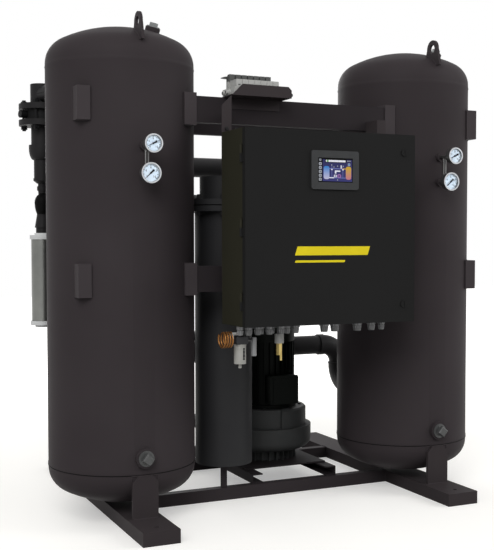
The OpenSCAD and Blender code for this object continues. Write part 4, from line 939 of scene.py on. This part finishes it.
def make_valve_details():
    """Screws and dark windows of the valves, dark strips of painted shade in the gaps between the coils, a
    lever and the end ports.
    """
    low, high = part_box("valve_manifold")
    coil_low, coil_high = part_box("solenoid_coils")
    mats = [DARK_PLASTIC_AND_SHADE, COIL, IVORY]
    dark, coil, ivory = range(len(mats))
    shape = Shape()
    first = low[0] + FIRST_VALVE
    shape.mat = dark
    for i in range(VALVE_COUNT):
        x = first + VALVE_PITCH * (i + 0.5)
        shape.lathe(in_mm(VALVE_SCREW), (x, low[1] + 22 * MM, high[2]), (0, 0, 1), 14)
        shape.prism(rounded(9 * MM, 3 * MM, 1 * MM), (x, low[1], high[2] - 20 * MM), 0.6 * MM)
    shade_depth = coil_high[1] - coil_low[1] - 5 * MM
    # Dark strips set back in the gaps between the coils: painted shade.
    for i in range(1, VALVE_COUNT):
        at = (first + VALVE_PITCH * i, coil_high[1] - 2 * MM, coil_low[2])
        shape.prism(in_mm(COIL_GAP_SHADE), at, shade_depth)
    shape.mat = coil
    at = (coil_low[0], coil_high[1] - 4 * MM, coil_high[2] - 12 * MM)
    shape.prism(in_mm(LEVER), at, 8 * MM)
    for ahead in (48 * MM, 80 * MM):
        at = (low[0], low[1] + ahead, low[2] + 14 * MM)
        shape.mat = ivory
        shape.lathe(in_mm(PORT), at, (-1, 0, 0), 18)
        shape.mat = dark
        shape.lathe(in_mm(PORT_MOUTH), at, (-1, 0, 0), 14)
    shape.done("valve_fittings", mats)


BLOWER_X = 128 * MM
BLOWER_Y = 118.5 * MM
FLANGE_R = 162 * MM
LIP_END = -54 * MM
LIP_BOLT_Z = 1604 * MM
STRAP_BOLT = 7 * MM
FLANGE_BOLT = 8 * MM
FLANGE_BOLTS = 8


def make_fasteners():
    """Bolts of the tray, the cabinet's straps and the motor's flange."""
    shape = Shape()
    tray_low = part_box("valve_tray")[0]
    strap_low, strap_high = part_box("cabinet_straps")
    box_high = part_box("cabinet_box")[1]
    shape.bolt((LIP_END, tray_low[1] + 7 * MM, LIP_BOLT_Z), (1, 0, 0), STRAP_BOLT)
    bolt_z = box_high[2] + 14 * MM
    for x in (strap_low[0] + 19 * MM, strap_low[0] + 58 * MM, strap_high[0] - 19 * MM):
        shape.bolt((x, strap_low[1], bolt_z), (0, -1, 0), STRAP_BOLT)
    flange = Vector((BLOWER_X, BLOWER_Y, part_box("blower_motor")[0][2]))
    for a in turns(FLANGE_BOLTS, math.pi / FLANGE_BOLTS):
        shape.bolt(flange + around(a) * FLANGE_R, (0, 0, 1), FLANGE_BOLT)
    shape.done("fasteners", [BOLT])


# Blower motor: cowl grille and terminal box cover

GRILLE_RINGS = (28, 44, 60, 76, 92, 108)
GRILLE_SPOKE = (14, 118)
GRILLE_HUB = ((18, -1), (18, 2), (14, 4))
BOX_X = (83 * MM, 210 * MM)
BOX_Z = (349 * MM, 468 * MM)
COVER = 3 * MM
COVER_SCREW = ((4, 0), (4, 2.4), (3, 3))
SCREW_IN = 7 * MM


def add_grille(shape, axis):
    """Rings and spokes over the fan, on top of the cowl."""
    for r in GRILLE_RINGS:
        ring = [axis + around(a) * r * MM for a in turns(48)]
        shape.tube(ring + ring[:1], 1.6 * MM, 6)
    for a in turns(8):
        shape.tube([axis + around(a) * r * MM for r in GRILLE_SPOKE], 2 * MM, 6)
    shape.lathe(in_mm(GRILLE_HUB), axis, (0, 0, 1), 24)


def make_motor_details():
    low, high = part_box("blower_motor")
    shape = Shape()
    add_grille(shape, Vector((BLOWER_X, BLOWER_Y, high[2])))
    centre = Vector((sum(BOX_X) / 2, low[1], sum(BOX_Z) / 2))
    front = centre - Vector((0, COVER, 0))
    w = BOX_X[1] - BOX_X[0]
    h = BOX_Z[1] - BOX_Z[0]
    shape.prism(rounded(w + 6 * MM, h + 6 * MM, 9 * MM), centre, COVER)
    shape.prism(rounded(w - 22 * MM, h - 22 * MM, 7 * MM), front, 2 * MM)
    for sx in (-1, 1):
        for sz in (-1, 1):
            at = front + Vector((sx * (w / 2 - SCREW_IN), 0, sz * (h / 2 - SCREW_IN)))
            shape.lathe(in_mm(COVER_SCREW), at, (0, -1, 0), 14)
    shape.done("motor_trim", [MOTOR])


# Under the cabinet: the filter bowl's guard window

FILTER_X = -310 * MM
FILTER_Y = -631.6 * MM
BOWL_R = 22 * MM
WINDOW_TURN = math.radians(-75)
PLATE_STEPS = 8
MARK_ZS = (632, 646, 660)
MARK_HALF = 1.2
COLLAR = ((0, -6), (1.6, -5), (1.6, -1), (0, 0))


def curved_plate(shape, proud, half_angle, z0, z1, thick):
    """A plate bent round the bowl. Its sizes are in millimetres and its half angle in degrees."""
    axis = Vector((FILTER_X, FILTER_Y, 0))
    inner = BOWL_R + proud * MM
    outer = inner + thick * MM
    section = ((inner, z0), (outer, z0), (outer, z1), (inner, z1))
    rings = []
    for i in range(PLATE_STEPS + 1):
        out = around(WINDOW_TURN + math.radians(half_angle) * (2 * i / PLATE_STEPS - 1))
        rings.append([axis + out * r + Vector((0, 0, z * MM)) for r, z in section])
    shape.loft(rings)


def make_filter_guard():
    """The bowl's guard with its dark window, the marks on it and the collar above."""
    mats = [WHITE, DARK_PLASTIC_AND_SHADE]
    white, dark = range(len(mats))
    shape = Shape()
    shape.mat = white
    curved_plate(shape, -0.4, 24, 618, 674, 1.6)
    shape.mat = dark
    curved_plate(shape, 0.8, 11, 624, 668, 0.8)
    shape.mat = white
    for z in MARK_ZS:
        curved_plate(shape, 1.2, 4, z - MARK_HALF, z + MARK_HALF, 0.8)
    collar = [(BOWL_R + r, h) for r, h in in_mm(COLLAR)]
    shape.lathe(collar, (FILTER_X, FILTER_Y, BOWL_TOP * MM), (0, 0, 1), 36)
    shape.done("filter_guard", mats)


# Under the cabinet: hexagon nuts and ribbed caps of the cable glands

NUT_Z = (735.5 * MM, 748.6 * MM)
NUT_BEVEL = 1.2 * MM
NUT_TURN = math.radians(15)
CAP_Z = (716 * MM, 731 * MM)
CAP_SHARES = (0.66, 0.86)
CAP_RIBS = 10
RIB_R = 1.3 * MM


def islands(obj):
    """Points of each separate solid of a mesh, in the order of its vertices."""
    mesh = bmesh.new()
    mesh.from_mesh(obj.data)
    bmesh.ops.remove_doubles(mesh, verts=mesh.verts, dist=WELD_GAP)
    seen = set()
    groups = []
    for start in mesh.verts:
        if start in seen:
            continue
        seen.add(start)
        stack = [start]
        group = []
        while stack:
            vert = stack.pop()
            group.append(vert.co.copy())
            for edge in vert.link_edges:
                other = edge.other_vert(vert)
                if other not in seen:
                    seen.add(other)
                    stack.append(other)
        groups.append(group)
    mesh.free()
    return groups


def make_gland_nuts():
    shape = Shape()
    low, high = NUT_Z
    for points in islands(nodes["cable_glands"]):
        x0, x1, y0, y1 = extent(points)
        centre = Vector(((x0 + x1) / 2, (y0 + y1) / 2, 0))
        r = (x1 - x0) / 2
        flat = 0.98 * r
        corner = 1.06 * r
        profile = [(flat, low), (corner, low + NUT_BEVEL), (corner, high - NUT_BEVEL), (flat, high)]
        shape.lathe(profile, centre, (0, 0, 1), 6, NUT_TURN)
        for a in turns(CAP_RIBS):
            rib = [centre + around(a) * share * r + Vector((0, 0, z)) for share, z in zip(CAP_SHARES, CAP_Z)]
            shape.tube(rib, RIB_R, 5)
    shape.done("gland_nuts", [NUT])


make_camera()
make_world()
make_lights()
make_floor()
dress_nodes()
repaint_nodes()
make_weld_beads()
make_seam_lines()
make_plug_heads()
make_door_stripe()
make_display()
make_gauge_scales()
make_pointer_tails()
make_valve_details()
make_fasteners()
make_motor_details()
make_filter_guard()
make_gland_nuts()

bpy.context.scene.view_settings.view_transform = "Standard"
